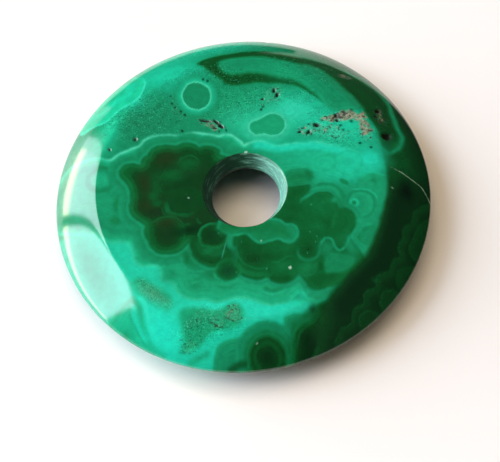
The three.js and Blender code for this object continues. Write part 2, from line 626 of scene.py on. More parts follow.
RIM_LOBE = (
    Zone(
        ((-16.5, 10.2), (-14.8, 10.4), (-13.4, 10.5), (-12.5, 11.1), (-11.8, 11.6), (-10.8, 11.9),
         (-10, 12.3), (-9.3, 13.1), (-8.95, 14), (-8.8, 15), (-9.1, 15.8), (-9.8, 16.4), (-11, 17.5),
         (-16, 14)),
        ((0, green(9.3)), (0.14, T.TURQUOISE), (0.8, green(7.8)), (1.4, green(8.2)), (2, T.TURQUOISE),
         (2.4, green(7.6)), (3, T.SEA)),
        lines=0.35,
    ),
    Vein(
        ((-8.8, 14.8), (-8.95, 14), (-9.3, 13.1), (-10, 12.3), (-10.8, 11.9), (-11.8, 11.6), (-12.5, 11.1),
         (-13.4, 10.5), (-14.8, 10.4), (-16.5, 10.3)),
        0.2, green(9.6), 0.75,
    ),
    Vein(((-12.1, 14), (-12.4, 13), (-13.5, 12.2), (-14.8, 11.9)), 0.2, green(9.3), 0.6, 0.4),
)

CRESCENT = (
    Zone(
        ((-3, 16.1), (-1.5, 16.7), (1, 17), (4, 16.9), (6, 16.3), (8, 15.6), (10, 14.9), (12, 13.8),
         (14, 12.3), (15.8, 10.5), (16.9, 8.5), (17, 7), (17.2, 5.5), (17.5, 4.2), (17.2, 2.8), (16.2, 1.8),
         (15.4, 2.2), (15.3, 3.2), (15.2, 4.5), (14.8, 5.5), (14.3, 6.5), (14, 7.5), (13.4, 8.8),
         (12.7, 9.9), (12, 10.9), (11, 12.4), (10, 13.4), (9, 14), (8, 14.2), (7, 14.6), (6, 15), (5, 15.4),
         (4, 15.7), (2, 15.9), (0.4, 15.9), (-0.5, 15.6), (-0.4, 14.8), (0.2, 14), (1.2, 13.75), (3, 13.7),
         (4.6, 13.2), (6, 12.7), (7.4, 12), (8.6, 10.9), (9.5, 9.6), (9.9, 8.7), (9.4, 9.2), (8.6, 10.2),
         (7.4, 11.2), (6, 11.7), (4.6, 12), (3, 12.2), (1.2, 12.25), (0, 12.5), (-0.8, 13.4), (-1.6, 14.4),
         (-2.3, 15.3)),
        ((0, T.GREEN), (0.12, T.LEAF), (0.28, T.MOSS), (0.6, green(2.5)), (1.2, T.MOSS), (2, T.MOSS)),
        soft=0.14,
    ),
    Zone(
        ((-0.3, 15.4), (0.4, 15.85), (2, 15.85), (4, 15.6), (6, 14.9), (8, 14.1), (9, 13.85), (10, 13.3),
         (11, 12.3), (12, 10.8), (12.7, 9.8), (13.4, 8.7), (13.9, 7.6), (12.5, 7.4), (11, 7.6), (10.1, 8.4),
         (9.6, 9.6), (8.8, 10.9), (7.5, 12.1), (6, 12.8), (4.6, 13.3), (3, 13.8), (1.2, 13.85),
         (0.1, 14.2)),
        ((0, T.GREEN), (0.15, green(6.4)), (0.3, green(6.15)), (0.8, T.MID), (1.4, green(5.8))),
        soft=0.3,
    ),
    Patch(6.3, 13.5, 2.2, 1, -25, T.SEA, 0.8),
    Patch(9.3, 11.9, 1.5, 1.2, -45, T.SEA, 0.25),
)

ROUND_EYE = (
    Lobe(-3.43, 11.7, 2.35, 2.6, 0, HALO_RINGS, soft=0.5, strength=0.85),
    Lobe(-3.43, 11.7, 1.62, 1.84, 8, EYE_RINGS, soft=0.06),
)

TWIN_EYE = (
    Cluster(
        ((4.25, 6.85, 1.42), (2.6, 6.7, 0.95), (3.5, 6.8, 1.05), (6.3, 8.2, 0.5)),
        ((-1.4, T.TURQUOISE), (-0.7, mix(T.TURQUOISE, T.MINT, 0.15)),
         (-0.25, mix(T.TURQUOISE, T.MINT, 0.4))),
        lowest=-0.9, soft=0.6, blend=0.4, strength=0.8,
    ),
    Patch(6.7, 8.3, 1.7, 1.2, -20, green(9.4), 0.85),
    Cluster(
        ((4.25, 6.85, 1.42), (2.65, 6.72, 0.92), (3.4, 6.8, 1)),
        ((-0.22, mix(T.TURQUOISE, T.MINT, 0.5)), (-0.06, T.MINT), (0.03, T.MINT), (0.14, green(6.7)),
         (0.9, green(7.1))),
        lowest=-0.2, soft=0.07, blend=0.25,
    ),
)

LOWER_GROUND = (
    Zone(
        ((-24, -2.5), (-17, -2.5), (-14.3, -4.3), (-12, -4.6), (-9, -7.5), (-8, -10), (-5, -12.3),
         (-2, -12.6), (2, -13.5), (6, -14.5), (9, -16), (9, -22), (-6, -24), (-16, -20), (-24, -12)),
        ((0, T.TURQUOISE), (0.5, green(8.4)), (2, green(8.5))),
        soft=0.5, lines=0.2,
    ),
    Patch(-16.8, -6.5, 2, 6.5, 22, green(6.1), 0.95),
    Patch(-9.6, -15.2, 1.4, 2, 15, T.AQUA, 0.95),
    Patch(1.2, -14.9, 3, 0.9, -8, T.AQUA, 0.9),
    Patch(-3.6, -13.4, 3.4, 0.5, -8, T.AQUA, 0.9),
    Zone(
        ((-8, -13.4), (-6.6, -13.2), (-5.2, -13.6), (-3.9, -13.9), (-2.9, -13.4), (-2, -13.4),
         (-1.4, -14.2), (-1.4, -15.1), (-2, -15.8), (-3, -16.15), (-4.6, -16.1), (-5.5, -16.5),
         (-6.4, -17.2), (-7.6, -17.45), (-8.6, -17.15), (-7.95, -16.2), (-8.1, -14.8)),
        ((0, green(7.5)), (0.4, T.SEA), (1, green(6.5))),
        soft=0.3, strength=0.95, lines=0.2,
    ),
    Zone(
        ((-12.6, -9.3), (-11.3, -9.1), (-10.2, -10), (-9.2, -10.8), (-8.5, -11.8), (-8.6, -12.9),
         (-9.3, -13.3), (-10.2, -12.7), (-11, -11.8), (-12, -10.8)),
        ((0, green(7.4)), (0.6, T.SEA)),
        soft=0.3, strength=0.8,
    ),
    Zone(
        ((-13.2, -10.9), (-12.5, -10.9), (-11.75, -11.8), (-11.55, -13), (-11.5, -14.2), (-11.2, -15.3),
         (-10.5, -16.2), (-9.8, -17.1), (-11, -18.5), (-17, -14.5), (-15.5, -12.5)),
        ((0, T.TURQUOISE), (0.25, T.SEA), (0.5, green(7.3)), (0.9, green(7.7))),
        soft=0.15, strength=0.9,
    ),
    Vein(
        ((-12.5, -11.3), (-12.65, -12.4), (-12.5, -13.6), (-12.1, -14.8), (-11.4, -15.8)),
        0.6, T.AQUA, 0.55, 0.2, 0.9,
    ),
    Vein(((-12.9, -11.2), (-13, -12.5), (-12.7, -13.8), (-12.3, -15), (-11.6, -16)), 0.2, T.SEA, 0.8, 0.15),
    Vein(
        ((-12.2, -10.9), (-11.5, -11.6), (-11.2, -12.8), (-11.15, -14), (-10.8, -15.2), (-10.1, -16.2)),
        0.4, green(9.3), 0.9, 0.12,
    ),
    Patch(-13.7, -14.1, 0.7, 0.5, -40, T.MID, 0.7),
    Patch(-10, -15, 1.3, 2.2, 12, T.AQUA, 0.9),
    Vein(((-8, -18.35), (-6.6, -18), (-5.2, -17.75)), 0.5, T.SEA, 0.7, 0.2, 0.9),
)

BOTTOM_LOBES = (
    Zone(
        ((-5.6, -20), (-5.3, -18.9), (-5, -18), (-4.6, -17.4), (-3.9, -17.1), (-3.1, -16.95), (-2.3, -17),
         (-1.6, -17.4), (-1, -18.5), (-1, -20.4)),
        ((0, green(7.3)), (0.2, green(6.5)), (0.6, green(6.3)), (1.2, green(6.2)), (2, green(5.7))),
        soft=0.15,
    ),
    Vein(((-4.4, -18.9), (-3.9, -18.1), (-3.1, -17.8), (-2.3, -17.9)), 0.2, green(7.3), 0.4, 0.3),
    Zone(
        ((2.2, -20.2), (2.1, -18.6), (2.2, -17.2), (2.45, -16.2), (2.6, -15.65), (3.4, -15.4),
         (4.5, -15.45), (5.2, -15), (5.8, -14.6), (6.5, -14.7), (8, -16.5), (7, -20.5)),
        ((0, green(7.2)), (0.2, green(6.5)), (0.6, green(5.7)), (0.9, T.GREEN), (1.2, green(4.4))),
        soft=0.2,
    ),
    Patch(5, -15.9, 1, 0.5, 10, green(4.3), 0.8),
    Lobe(
        0.35, -19.05, 3.3, 3.25, 0,
        ((0, green(6.6)), (0.15, green(6.35)), (0.5, T.MID), (0.8, green(5.8)), (1.1, T.GREEN),
         (1.23, green(5.5)), (1.36, green(4.7)), (1.5, green(4.3)), (1.65, green(2.6)), (1.85, green(2.7)),
         (2.05, green(3.6)), (2.3, green(2.3)), (2.9, green(1.4))),
        soft=0.2,
    ),
    Patch(2.75, -18.6, 0.35, 1.1, 0, T.LEAF, 0.8),
    Zone(
        ((3, -20.2), (2.95, -18.6), (3.1, -17.5), (3.4, -16.85), (4, -16.45), (4.7, -16.2), (5.4, -16.2),
         (6, -15.6), (6.5, -14.8), (9, -15.6), (10, -18), (7, -21)),
        ((-0.16, green(5.2)), (0, green(4.7)), (0.14, T.LEAF), (0.3, green(4.3)), (0.42, T.MOSS),
         (0.8, T.DEEP), (1.3, green(1.4)), (2, T.INK)),
        soft=0.25, lowest=-0.16,
    ),
    Vein(
        ((2.9, -18.8), (3, -17.8), (3.5, -16.9), (4.3, -16.4), (5.2, -16.1), (5.7, -15.8)),
        0.24, green(5.35), 0.7, 0.2, 0.9,
    ),
    Vein(
        ((3.35, -18.8), (3.7, -17.7), (4.2, -17), (5, -16.65), (5.6, -16.5)),
        0.2, green(4.3), 0.6, 0.2, 0.9,
    ),
    Patch(5.6, -15.2, 0.45, 0.5, 0, T.DEEP, 0.85),
    Vein(((-3.9, -19.75), (-3.2, -19.35), (-2.3, -19.2), (-1.6, -19.4)), 0.6, T.MOSS, 0.85, 0.15, 0.8),
)

BODY = (
    Zone(
        BODY_OUTLINE,
        ((0, green(7.8)), (0.3, green(7.5)), (0.5, T.SEA), (0.9, green(6.5)), (1.3, T.MID),
         (3, green(6.5))),
        soft=0.12, lowest=-0.05, lines=0.45,
    ),
    Zone(
        ((-9.5, -7.8), (-8, -8), (-4, -8), (0, -9), (4, -10), (5, -13), *LOWER_LINE[:15]),
        ((0, green(7.6)), (0.4, green(7.3)), (1.5, T.SEA)),
        soft=0.2,
    ),
    Vein(FRONT_LINE[1:], 0.34, T.MINT, 0.75, 0.05, 0.8),
    Vein(LOWER_LINE, 0.3, T.MINT, 0.25, 0.1, 0.8),
    Hairline(FRONT_LINE[1:], Line.MINT, 0.45, 0.05),
    Lobe(-5.8, -10.8, 0.7, 0.6, 0, ((0, T.SEA), (0.5, T.MID)), soft=0.3, strength=0.7),
    Lobe(
        -14.6, 3, 1.75, 1.65, 0,
        ((0, green(5.8)), (0.25, green(5.3)), (0.6, T.MID), (1, green(7.3))),
        0.15, 0.95,
    ),
    Lobe(-12.6, -0.3, 1.05, 1.5, -12, ((0, green(5.7)), (0.3, T.GREEN), (0.8, green(4.8))), 0.18, 0.9),
    Lobe(-13.5, -2.1, 0.75, 0.65, -10, ((0, green(5.7)), (0.4, T.GREEN)), 0.25, 0.85),
)

RIGHT_BODY = (
    Patch(9, 2.2, 5.5, 1.9, -8, T.TURQUOISE, 0.9),
    Patch(13.8, 0.8, 1.7, 1.3, -10, T.AQUA, 0.8),
    Vein(
        ((1.5, 4.6), (3, 4.5), (4.6, 3.8), (6.4, 3.75), (8.2, 3.6), (9.6, 3.15), (10.8, 2.6), (12, 2),
         (13, 1.3), (15, 0.9)),
        0.9, green(8.75), 0.9, 0.06, 0.9,
    ),
    Patch(12.6, -5.5, 2.5, 4, 20, green(6.15), 0.9),
    Patch(11.4, -0.1, 3, 1.2, -5, green(8.3), 0.85),
    Lobe(9.2, 1.3, 1.5, 1.2, 0, ((0, T.TURQUOISE), (0.25, green(7.4)), (0.6, T.TURQUOISE)), 0.2, 0.8, 0.3),
    Lobe(11.6, 1, 1.5, 1.5, 0, ((0, green(7.4)), (0.3, green(8.2))), 0.12, 0.7, 0.3),
    Lobe(13.6, -1.9, 1.5, 1.35, 0, ((0, green(6.3)), (0.2, green(6.6)), (1, green(6.8))), 0.1, 0.9),
    Vein(((12.4, -1.1), (13.4, -0.55), (14.4, -0.75), (15.3, -1.3)), 0.2, T.TURQUOISE, 0.7, 0.2),
    Patch(14, -1.6, 0.35, 0.5, 10, green(5.4), 0.8),
    Lobe(
        12.2, -4.1, 1.8, 1.95, 0,
        ((0, T.SEA), (0.12, T.MID), (0.45, green(5.7)), (0.65, T.SEA), (1.3, green(6.5))),
        0.12,
    ),
    Lobe(11.55, -3.85, 0.5, 0.5, 0, ((0, T.TURQUOISE), (0.18, T.TURQUOISE), (0.34, T.GREEN)), 0.1, 0.9),
    Patch(13.2, -9.4, 1, 1.9, -38, T.LEAF, 0.8),
    Lobe(12.6, -7.9, 1.25, 1.1, 0, ((0, T.GREEN), (0.15, green(5.5)), (0.5, green(5.7))), 0.12, 0.9),
    Patch(11.2, -8.2, 0.3, 0.6, -10, green(4.3), 0.8),
)

# The right bevel, darkened toward ink: partly the stone's dark growth and partly painted shade, as this bevel
# faces away from the window; the sharp drop at the flat's edge is painted shade.
RIGHT_BEVEL_WITH_SHADE = (
    Zone(
        ((16.1, 1.4), (15.7, 0.5), (15.5, -0.6), (15.3, -1.8), (15.05, -3), (14.7, -4.1), (14.3, -5.1),
         (13.9, -6), (13.5, -7), (12.95, -8), (12.35, -9.1), (11.6, -10.1), (10.7, -10.9), (9.8, -11.6),
         (9.1, -12.3), (8.4, -13), (7.6, -13.8), (6.9, -14.4), (6.3, -14.8), (6.1, -15.4), (6.2, -16.5),
         (5.6, -18.2), (5, -20.5), (13, -20), (20, -14), (24, -4), (23, 4), (19, 12), (17.1, 10), (17.4, 8),
         (17.5, 6.5), (17.75, 5), (18, 4), (17.5, 2.5), (16.7, 1.8)),
        ((0, green(3.5)), (0.25, green(2.7)), (0.7, T.DEEP), (1.5, green(1.4))),
        soft=0.28, lines=0.45,
    ),
    Patch(6, -17.6, 0.6, 1.8, 5, T.DEEP, 0.9),
    Patch(17.3, 0.6, 1.9, 2.2, 0, green(3.5), 0.8),
    Patch(16.9, 2.5, 0.5, 0.6, 0, T.GREEN, 0.8),
    Patch(15.9, 0.5, 0.6, 0.9, 0, green(5.3), 0.7),
    Patch(16.2, -1.2, 0.9, 0.8, 0, T.MOSS, 0.6),
    Vein(
        ((16.8, -2.4), (16.2, -4), (15.5, -5.6), (14.9, -7.2), (14.3, -8.8), (13.4, -10.2), (12.4, -11.4),
         (11.2, -12.4), (10, -13.4), (8.8, -14.6), (7.5, -15.6)),
        1.5, T.INK, 0.8, 0.06, 0.95,
    ),
    Patch(17.2, -2.9, 0.75, 1.2, 10, T.PITCH, 0.95),
    Patch(18.8, 0.6, 0.5, 1.4, 0, T.DEEP, 0.7),
    Zone(
        ((20.5, -3.4), (18.9, -4), (18.1, -4.6), (17.5, -5.1), (17.25, -5.8), (16.9, -6.4), (16.3, -6.8),
         (15.9, -7.4), (15.75, -8.1), (15.35, -8.6), (15.15, -9.3), (15.25, -9.9), (14.6, -10.2),
         (14.2, -10.8), (13.9, -11.4), (13.2, -11.7), (12.6, -12), (12.3, -12.6), (12.2, -13.2),
         (11.5, -13.4), (10.9, -13.9), (10.7, -14.6), (9.9, -15), (9.4, -15.7), (9.2, -16.5), (8.2, -16.9),
         (7.6, -17.6), (7.4, -18.6), (12, -20), (20, -14), (23, -6)),
        ((0, T.INK), (0.14, green(3.2)), (0.3, green(2.3)), (0.5, green(2.5)), (0.8, green(1.8)),
         (1.4, green(1.4))),
        soft=0.3, strength=0.85, lines=0.5,
    ),
    Zone(
        ((19.8, -5.4), (18.4, -5.9), (17.7, -6.6), (17.2, -7.5), (16.6, -8.3), (16.3, -9.2), (16.5, -10),
         (17.2, -10.4), (19, -10)),
        UPPER_SCALLOP, soft=0.25, strength=0.75, lines=0.5,
    ),
    Zone(
        ((17.6, -10.8), (16.4, -10.7), (15.5, -10.9), (14.8, -11.4), (14.4, -12.1), (14.5, -12.9),
         (15.2, -13.6), (16, -14.5)),
        UPPER_SCALLOP, soft=0.25, strength=0.75, lines=0.5,
    ),
    Zone(
        ((15.4, -13.9), (14.3, -13.2), (13.4, -13.3), (12.7, -13.8), (12.3, -14.6), (12.6, -15.4),
         (13.4, -16.5)),
        LOWER_SCALLOP, soft=0.25, strength=0.7, lines=0.5,
    ),
    Zone(
        ((12.6, -15.9), (11.6, -15.2), (10.7, -15.3), (10.1, -15.9), (10, -16.7), (10.8, -18)),
        LOWER_SCALLOP, soft=0.25, strength=0.7, lines=0.5,
    ),
    Patch(12.4, -12.6, 0.35, 0.25, 0, T.LEAF, 0.6),
    Patch(6.9, -16.2, 0.8, 1, 0, green(2.4), 0.6),
    Vein(((18.6, -8.2), (17.6, -10.1), (16.4, -11.8), (15, -13.4)), 0.5, T.INK, 0.6, 0.15, 0.9),
    Vein(
        ((16.9, 10), (17.2, 8), (17.3, 6.5), (17.5, 5), (17.8, 4), (17.6, 3.2), (17.3, 2.5), (16.5, 1.8),
         (15.9, 1.2)),
        0.3, green(7.3), 0.8, 0.12,
    ),
    Vein(((12.9, 14), (13.2, 13.2), (14, 12.6), (15, 12.3), (15.9, 12.2)), 0.22, T.TURQUOISE, 0.5, 0.2),
    Hairline(
        ((15.9, -0.1), (17, -0.7), (18, -1.5), (18.9, -2.1), (19.3, -2.9), (19.7, -3.9)),
        Line.CRACK, 0.9, 0.05,
    ),
)

LEFT_GROWTH = (
    Zone(
        LEFT_MASS,
        ((-1.6, T.MID), (-1.15, green(6.3)), (-0.8, green(5.85)), (-0.56, green(5.5)), (-0.42, T.MID),
         (-0.3, green(6.6)), (-0.2, green(6.35)), (-0.08, T.GREEN), (0.04, green(3.8)), (0.16, green(4.5)),
         (0.38, green(4.2)), (0.5, green(3.3)), (0.62, green(3.6)), (0.85, green(2.5)), (1.2, T.DEEP),
         (2, mix(T.DEEP, T.BARK, 0.4))),
        soft=0.25, lowest=-1.35, lines=0.45,
    ),
    Patch(-11.4, 3.4, 0.9, 0.55, 20, green(3.7), 0.8),
    Patch(-10.9, 2.9, 0.35, 0.6, 10, T.DEEP, 0.7),
    Patch(-7.3, 4.5, 1.5, 0.85, 8, T.UMBER, 0.85),
    Patch(-4.9, 4.9, 1.3, 0.45, -8, green(2.3), 0.8),
    Patch(-5.2, 3.5, 1.2, 0.75, -8, green(3.7), 0.85),
    Vein(((-6.3, 3.6), (-5.8, 4.25), (-5, 4.45), (-4.3, 4.1), (-4, 3.4)), 0.22, T.LEAF, 0.65, 0.25),
    Vein(((-4.1, 5.1), (-4, 4.5), (-3.75, 4)), 0.22, T.DEEP, 0.7, 0.3),
    Patch(-2.9, 4.5, 0.9, 0.5, -10, T.DEEP, 0.7),
    Patch(-7.3, 2.5, 1.5, 0.6, 5, green(3.6), 0.8),
    Patch(-6.7, 1.9, 1.2, 0.6, -10, green(3.7), 0.6),
    Lobe(
        -7.75, 0.95, 0.85, 0.75, 0,
        ((0, T.MOSS), (0.12, green(3.4)), (0.28, T.MOSS), (0.6, T.DEEP)),
        0.2, 0.45,
    ),
    Patch(-5.9, 1.2, 1.8, 0.8, 12, green(1.7), 0.9),
    Patch(-10, 1.9, 0.65, 1.5, 5, T.UMBER, 0.85),
    Patch(-10.1, -0.8, 1, 0.9, -10, T.UMBER, 0.85),
    Patch(-9.4, -1.8, 1.1, 0.6, 0, T.BARK, 0.8),
    Patch(-9.2, 0.1, 0.5, 0.7, 0, green(3.5), 0.85),
    Patch(-8.9, -0.8, 0.5, 0.35, 0, green(3.6), 0.8),
    Patch(-8.9, 1.4, 0.5, 1.2, 5, green(3.6), 0.6),
    Lobe(
        -6, -0.95, 2, 1.7, 0,
        ((0, green(2.6)), (0.2, T.DEEP), (0.6, green(2.3)), (1.6, T.DEEP)),
        0.2, 0.8,
    ),
    Vein(
        ((-7.95, -0.5), (-8.05, -1.3), (-7.75, -2.05), (-6.95, -2.5), (-5.9, -2.65), (-5, -2.5)),
        0.4, green(4.2), 0.6, 0.3, 0.9,
    ),
    Vein(((-8.4, -1), (-8.45, -1.9), (-7.9, -2.7)), 0.2, green(3.7), 0.6, 0.3),
    Patch(-7.95, -1.6, 0.25, 0.6, 0, T.GREEN, 0.4),
    Lobe(
        -8.3, -4.5, 2.05, 2.15, 0,
        ((0, green(3.5)), (0.14, green(4.1)), (0.28, green(2.6)), (0.42, green(3.4)), (0.65, green(2.5)),
         (1, mix(T.DEEP, T.BARK, 0.3)), (1.8, mix(T.DEEP, T.BARK, 0.6))),
        0.2, 0.8,
    ),
    Patch(-8.2, -3.2, 1.2, 0.6, 0, T.UMBER, 0.8),
    Patch(-5.9, -4.4, 1.7, 0.6, 3, T.INK, 0.8),
    Patch(-6.1, -3.7, 0.4, 0.2, 0, T.LEAF, 0.5),
    Vein(((-6.4, -5), (-6.3, -5.6), (-6, -6)), 0.2, T.LEAF, 0.5, 0.3),
    Vein(((-5.05, -2.9), (-4.9, -3.6), (-4.4, -4)), 0.3, T.LEAF, 0.4, 0.25, 0.9),
    Patch(-3.7, -7.1, 1.7, 0.9, -5, green(4.1), 0.95),
    Patch(-6.2, -7.7, 1, 1.2, 10, green(4.3), 0.6),
    Patch(-4.1, -10, 0.9, 0.7, 0, green(4.4), 0.6),
    Patch(-4.3, -7.2, 0.5, 0.35, 0, green(4.9), 0.7),
    Patch(-3, -7.6, 0.6, 0.3, 10, green(4.7), 0.6),
    Zone(
        ((-4.85, -6.3), (-4.95, -5.5), (-4.8, -4.8), (-4.3, -4.25), (-3.5, -4.05), (-2.7, -4.2),
         (-2.2, -4.8), (-2, -5.6), (-2.4, -6.4), (-3.1, -6.8), (-4, -6.75)),
        ((-0.12, green(4.5)), (0, green(4.6)), (0.14, T.MOSS), (0.35, T.DEEP), (0.8, green(1.7))),
        soft=0.14, strength=0.9, lowest=-0.12,
    ),
    Vein(
        ((-4.75, -5.9), (-4.95, -5.2), (-4.75, -4.6), (-4.3, -4.2), (-3.6, -4), (-3, -4.1)),
        0.22, green(5.2), 0.7, 0.2,
    ),
    Vein(
        ((-5.55, -5), (-5.75, -6.2), (-5.55, -7.2), (-5, -8), (-4.2, -8.4), (-3.2, -8.5), (-2.2, -8.1)),
        0.7, green(2.4), 0.85, 0.1, 0.9,
    ),
    Vein(((-6.4, -6.9), (-6.6, -7.7), (-6.4, -8.5)), 0.45, green(4.3), 0.8, 0.3, 0.9),
    Vein(
        ((-7, -7.1), (-7.15, -8), (-6.8, -8.9), (-6, -9.3), (-5.2, -9.4), (-4.4, -9.4)),
        0.26, green(6.8), 0.75, 0.2,
    ),
    Vein(((-6.05, -6.6), (-6.1, -7.4), (-5.9, -8.1), (-5.3, -8.8)), 0.22, green(5.5), 0.6, 0.2),
    Patch(-8.4, -9.2, 0.9, 1.3, -20, green(5.8), 0.7),
    Patch(-5.9, -10.6, 0.7, 0.8, -20, green(5.5), 0.7),
    Vein(
        ((-7.7, -8.3), (-7.7, -9.3), (-7.1, -10.2), (-6.2, -10.5), (-5.2, -10.4), (-4.4, -10.8)),
        0.3, T.SEA, 0.6, 0.2, 0.9,
    ),
    Patch(-13.4, 1.2, 1, 0.5, -20, green(5.8), 0.5),
)

LOW_GROWTH = (
    Zone(
        LOW_MASS,
        ((-0.9, T.SEA), (-0.6, green(6.4)), (-0.45, T.MID), (-0.33, green(6.6)), (-0.2, T.MID),
         (-0.06, T.GREEN), (0.06, green(3.7)), (0.22, green(4.2)), (0.45, T.LEAF), (0.9, green(3.6)),
         (1.6, green(3.7))),
        soft=0.2, lowest=-0.7, lines=0.4,
    ),
    Lobe(
        -2.45, -9.7, 1.35, 1.35, 0,
        ((0, T.GREEN), (0.2, T.LEAF), (0.45, T.MOSS), (0.8, T.DEEP), (1.2, green(1.6))),
        0.25, 0.9, 0.2,
    ),
    Vein(
        ((-3.95, -9.5), (-3.75, -10.3), (-3.2, -10.9), (-2.5, -11.1), (-1.8, -10.95), (-1.3, -10.5)),
        0.24, green(6.8), 0.75, 0.15,
    ),
    Vein(((-4.1, -10.8), (-3.4, -11.5), (-2.5, -11.7), (-1.8, -11.4)), 0.4, green(5.6), 0.7, 0.25, 0.9),
    Patch(-0.6, -6.9, 0.8, 0.9, 0, green(2.7), 0.9),
    Patch(-1.9, -8.1, 0.8, 1.1, 0, green(3.4), 0.85),
    Patch(0.3, -8.5, 1.5, 1.1, -10, green(2.35), 0.95),
    Patch(0.4, -8.9, 0.7, 0.5, -10, T.DEEP, 0.7),
    Patch(2.4, -8.7, 1.3, 0.6, 0, green(2.6), 0.7),
    Patch(3.4, -8, 1.1, 0.5, 0, green(4.3), 0.6),
    Vein(
        ((-1.25, -6.6), (-1.3, -7.6), (-1.1, -8.5), (-0.7, -9.2), (0, -9.75), (0.7, -10), (1.4, -9.95),
         (1.8, -9.6)),
        0.2, green(4.8), 0.6, 0.1,
    ),
    Vein(((2, -9.3), (2.7, -9.5), (3.3, -9.3), (3.9, -9), (4.6, -9.1)), 0.22, green(4.7), 0.6, 0.2),
    Vein(((1.75, -9.9), (1.75, -10.4), (1.95, -10.8)), 0.22, T.MOSS, 0.6, 0.3),
    Vein(
        ((-1.8, -8.4), (-1.6, -9.1), (-1.1, -9.85), (-0.3, -10.4), (0.6, -10.6), (1.4, -10.5)),
        0.45, green(4.6), 0.7, 0.15, 0.9,
    ),
    Vein(
        ((-1.25, -10.1), (-0.7, -10.7), (0, -11), (0.7, -11.1), (1.4, -10.95)),
        0.26, T.MOSS, 0.6, 0.15, 0.8,
    ),
    Vein(((1.6, -10.9), (2.3, -11.4), (3.2, -11.5), (4.1, -11.1)), 0.7, green(2.8), 0.85, 0.2, 0.9),
    Patch(3.2, -10.1, 1.1, 0.6, 0, green(4.4), 0.8),
    Vein(
        ((0.75, -11.7), (1.1, -12.2), (1.7, -12.6), (2.5, -12.6), (3.1, -12.35)),
        0.4, green(5.3), 0.8, 0.2, 0.9,
    ),
    Vein(((0.4, -12), (0.8, -12.6), (1.5, -13), (2.4, -13.05), (3.3, -12.7)), 0.18, T.TURQUOISE, 0.5, 0.2),
    Patch(6, -7.8, 0.7, 1.2, 5, green(3.3), 0.8),
    Patch(6, -8.6, 0.85, 0.9, 0, green(2.5), 0.9),
    Vein(
        ((5, -8), (4.95, -8.8), (5.3, -9.5), (6, -9.85), (6.7, -9.6), (7.15, -9), (7.25, -8.2)),
        0.3, green(5.35), 0.75, 0.2, 0.8,
    ),
    Patch(5.6, -10.6, 1, 0.8, 0, green(5.1), 0.85),
    Vein(((4.7, -11), (5.2, -11.45), (6, -11.45), (6.5, -11)), 0.2, green(5.4), 0.5, 0.3),
    Vein(((7.25, -9.9), (7, -10.6), (6.7, -11.4)), 0.4, T.MOSS, 0.75, 0.3, 0.9),
    Patch(6.8, -12.2, 1.5, 0.8, 5, green(3.3), 0.9),
    Patch(4.75, -13.55, 0.6, 0.45, 0, green(8.2), 0.85),
    Zone(
        ((7.3, -10.6), (7.6, -9.8), (8.2, -9.3), (9.1, -9.4), (9.9, -9.7), (10.6, -10), (10.7, -10.6),
         (10, -11.3), (9.1, -11.7), (8.2, -11.6), (7.4, -11.5)),
        ((0, T.GREEN), (0.25, green(5.5)), (0.8, green(5.6))),
        soft=0.3, strength=0.85,
    ),
    Vein(((4.5, -12), (4.55, -13.2), (5.2, -14.1), (6.3, -14.5), (7.4, -14.3)), 0.25, T.SEA, 0.45, 0.4),
    Vein(
        ((4.85, -12), (4.95, -13), (5.5, -13.8), (6.4, -14.1), (7.6, -13.9)),
        0.35, green(5.6), 0.55, 0.45, 0.9,
    ),
    Zone(
        ((-3, -4.4), (-2.7, -5), (-2, -5.75), (-1.2, -5.95), (-0.4, -5.8), (0, -6), (0.35, -6.5), (0.8, -7),
         (1.5, -7.2), (2.4, -7.15), (3.1, -7.1), (3.6, -7.45), (4.3, -7.6), (5, -7.25), (5.4, -6.5),
         (5.35, -5.8), (4.9, -5.3), (4.2, -5.1), (3.8, -4.7), (3.2, -4.4), (2.5, -4.2), (0, -3), (-2, -3)),
        ((0, green(4.8)), (0.1, green(6.3)), (0.24, green(6.2)), (0.4, green(5.4)), (0.8, T.GREEN),
         (1.3, green(4.7))),
        soft=0.12, lines=0.6,
    ),
    Patch(-2.4, -4.8, 0.7, 0.9, 0, green(4.5), 0.8),
    Patch(0.2, -5.5, 0.9, 0.35, -5, green(4.4), 0.6),
    Patch(4.7, -6.2, 0.5, 0.8, 0, green(6.2), 0.6),
    Patch(4.1, -7.2, 0.5, 0.3, 0, green(6.2), 0.6),
    Patch(2, -6.1, 1.2, 0.6, -15, green(5.4), 0.6),
)

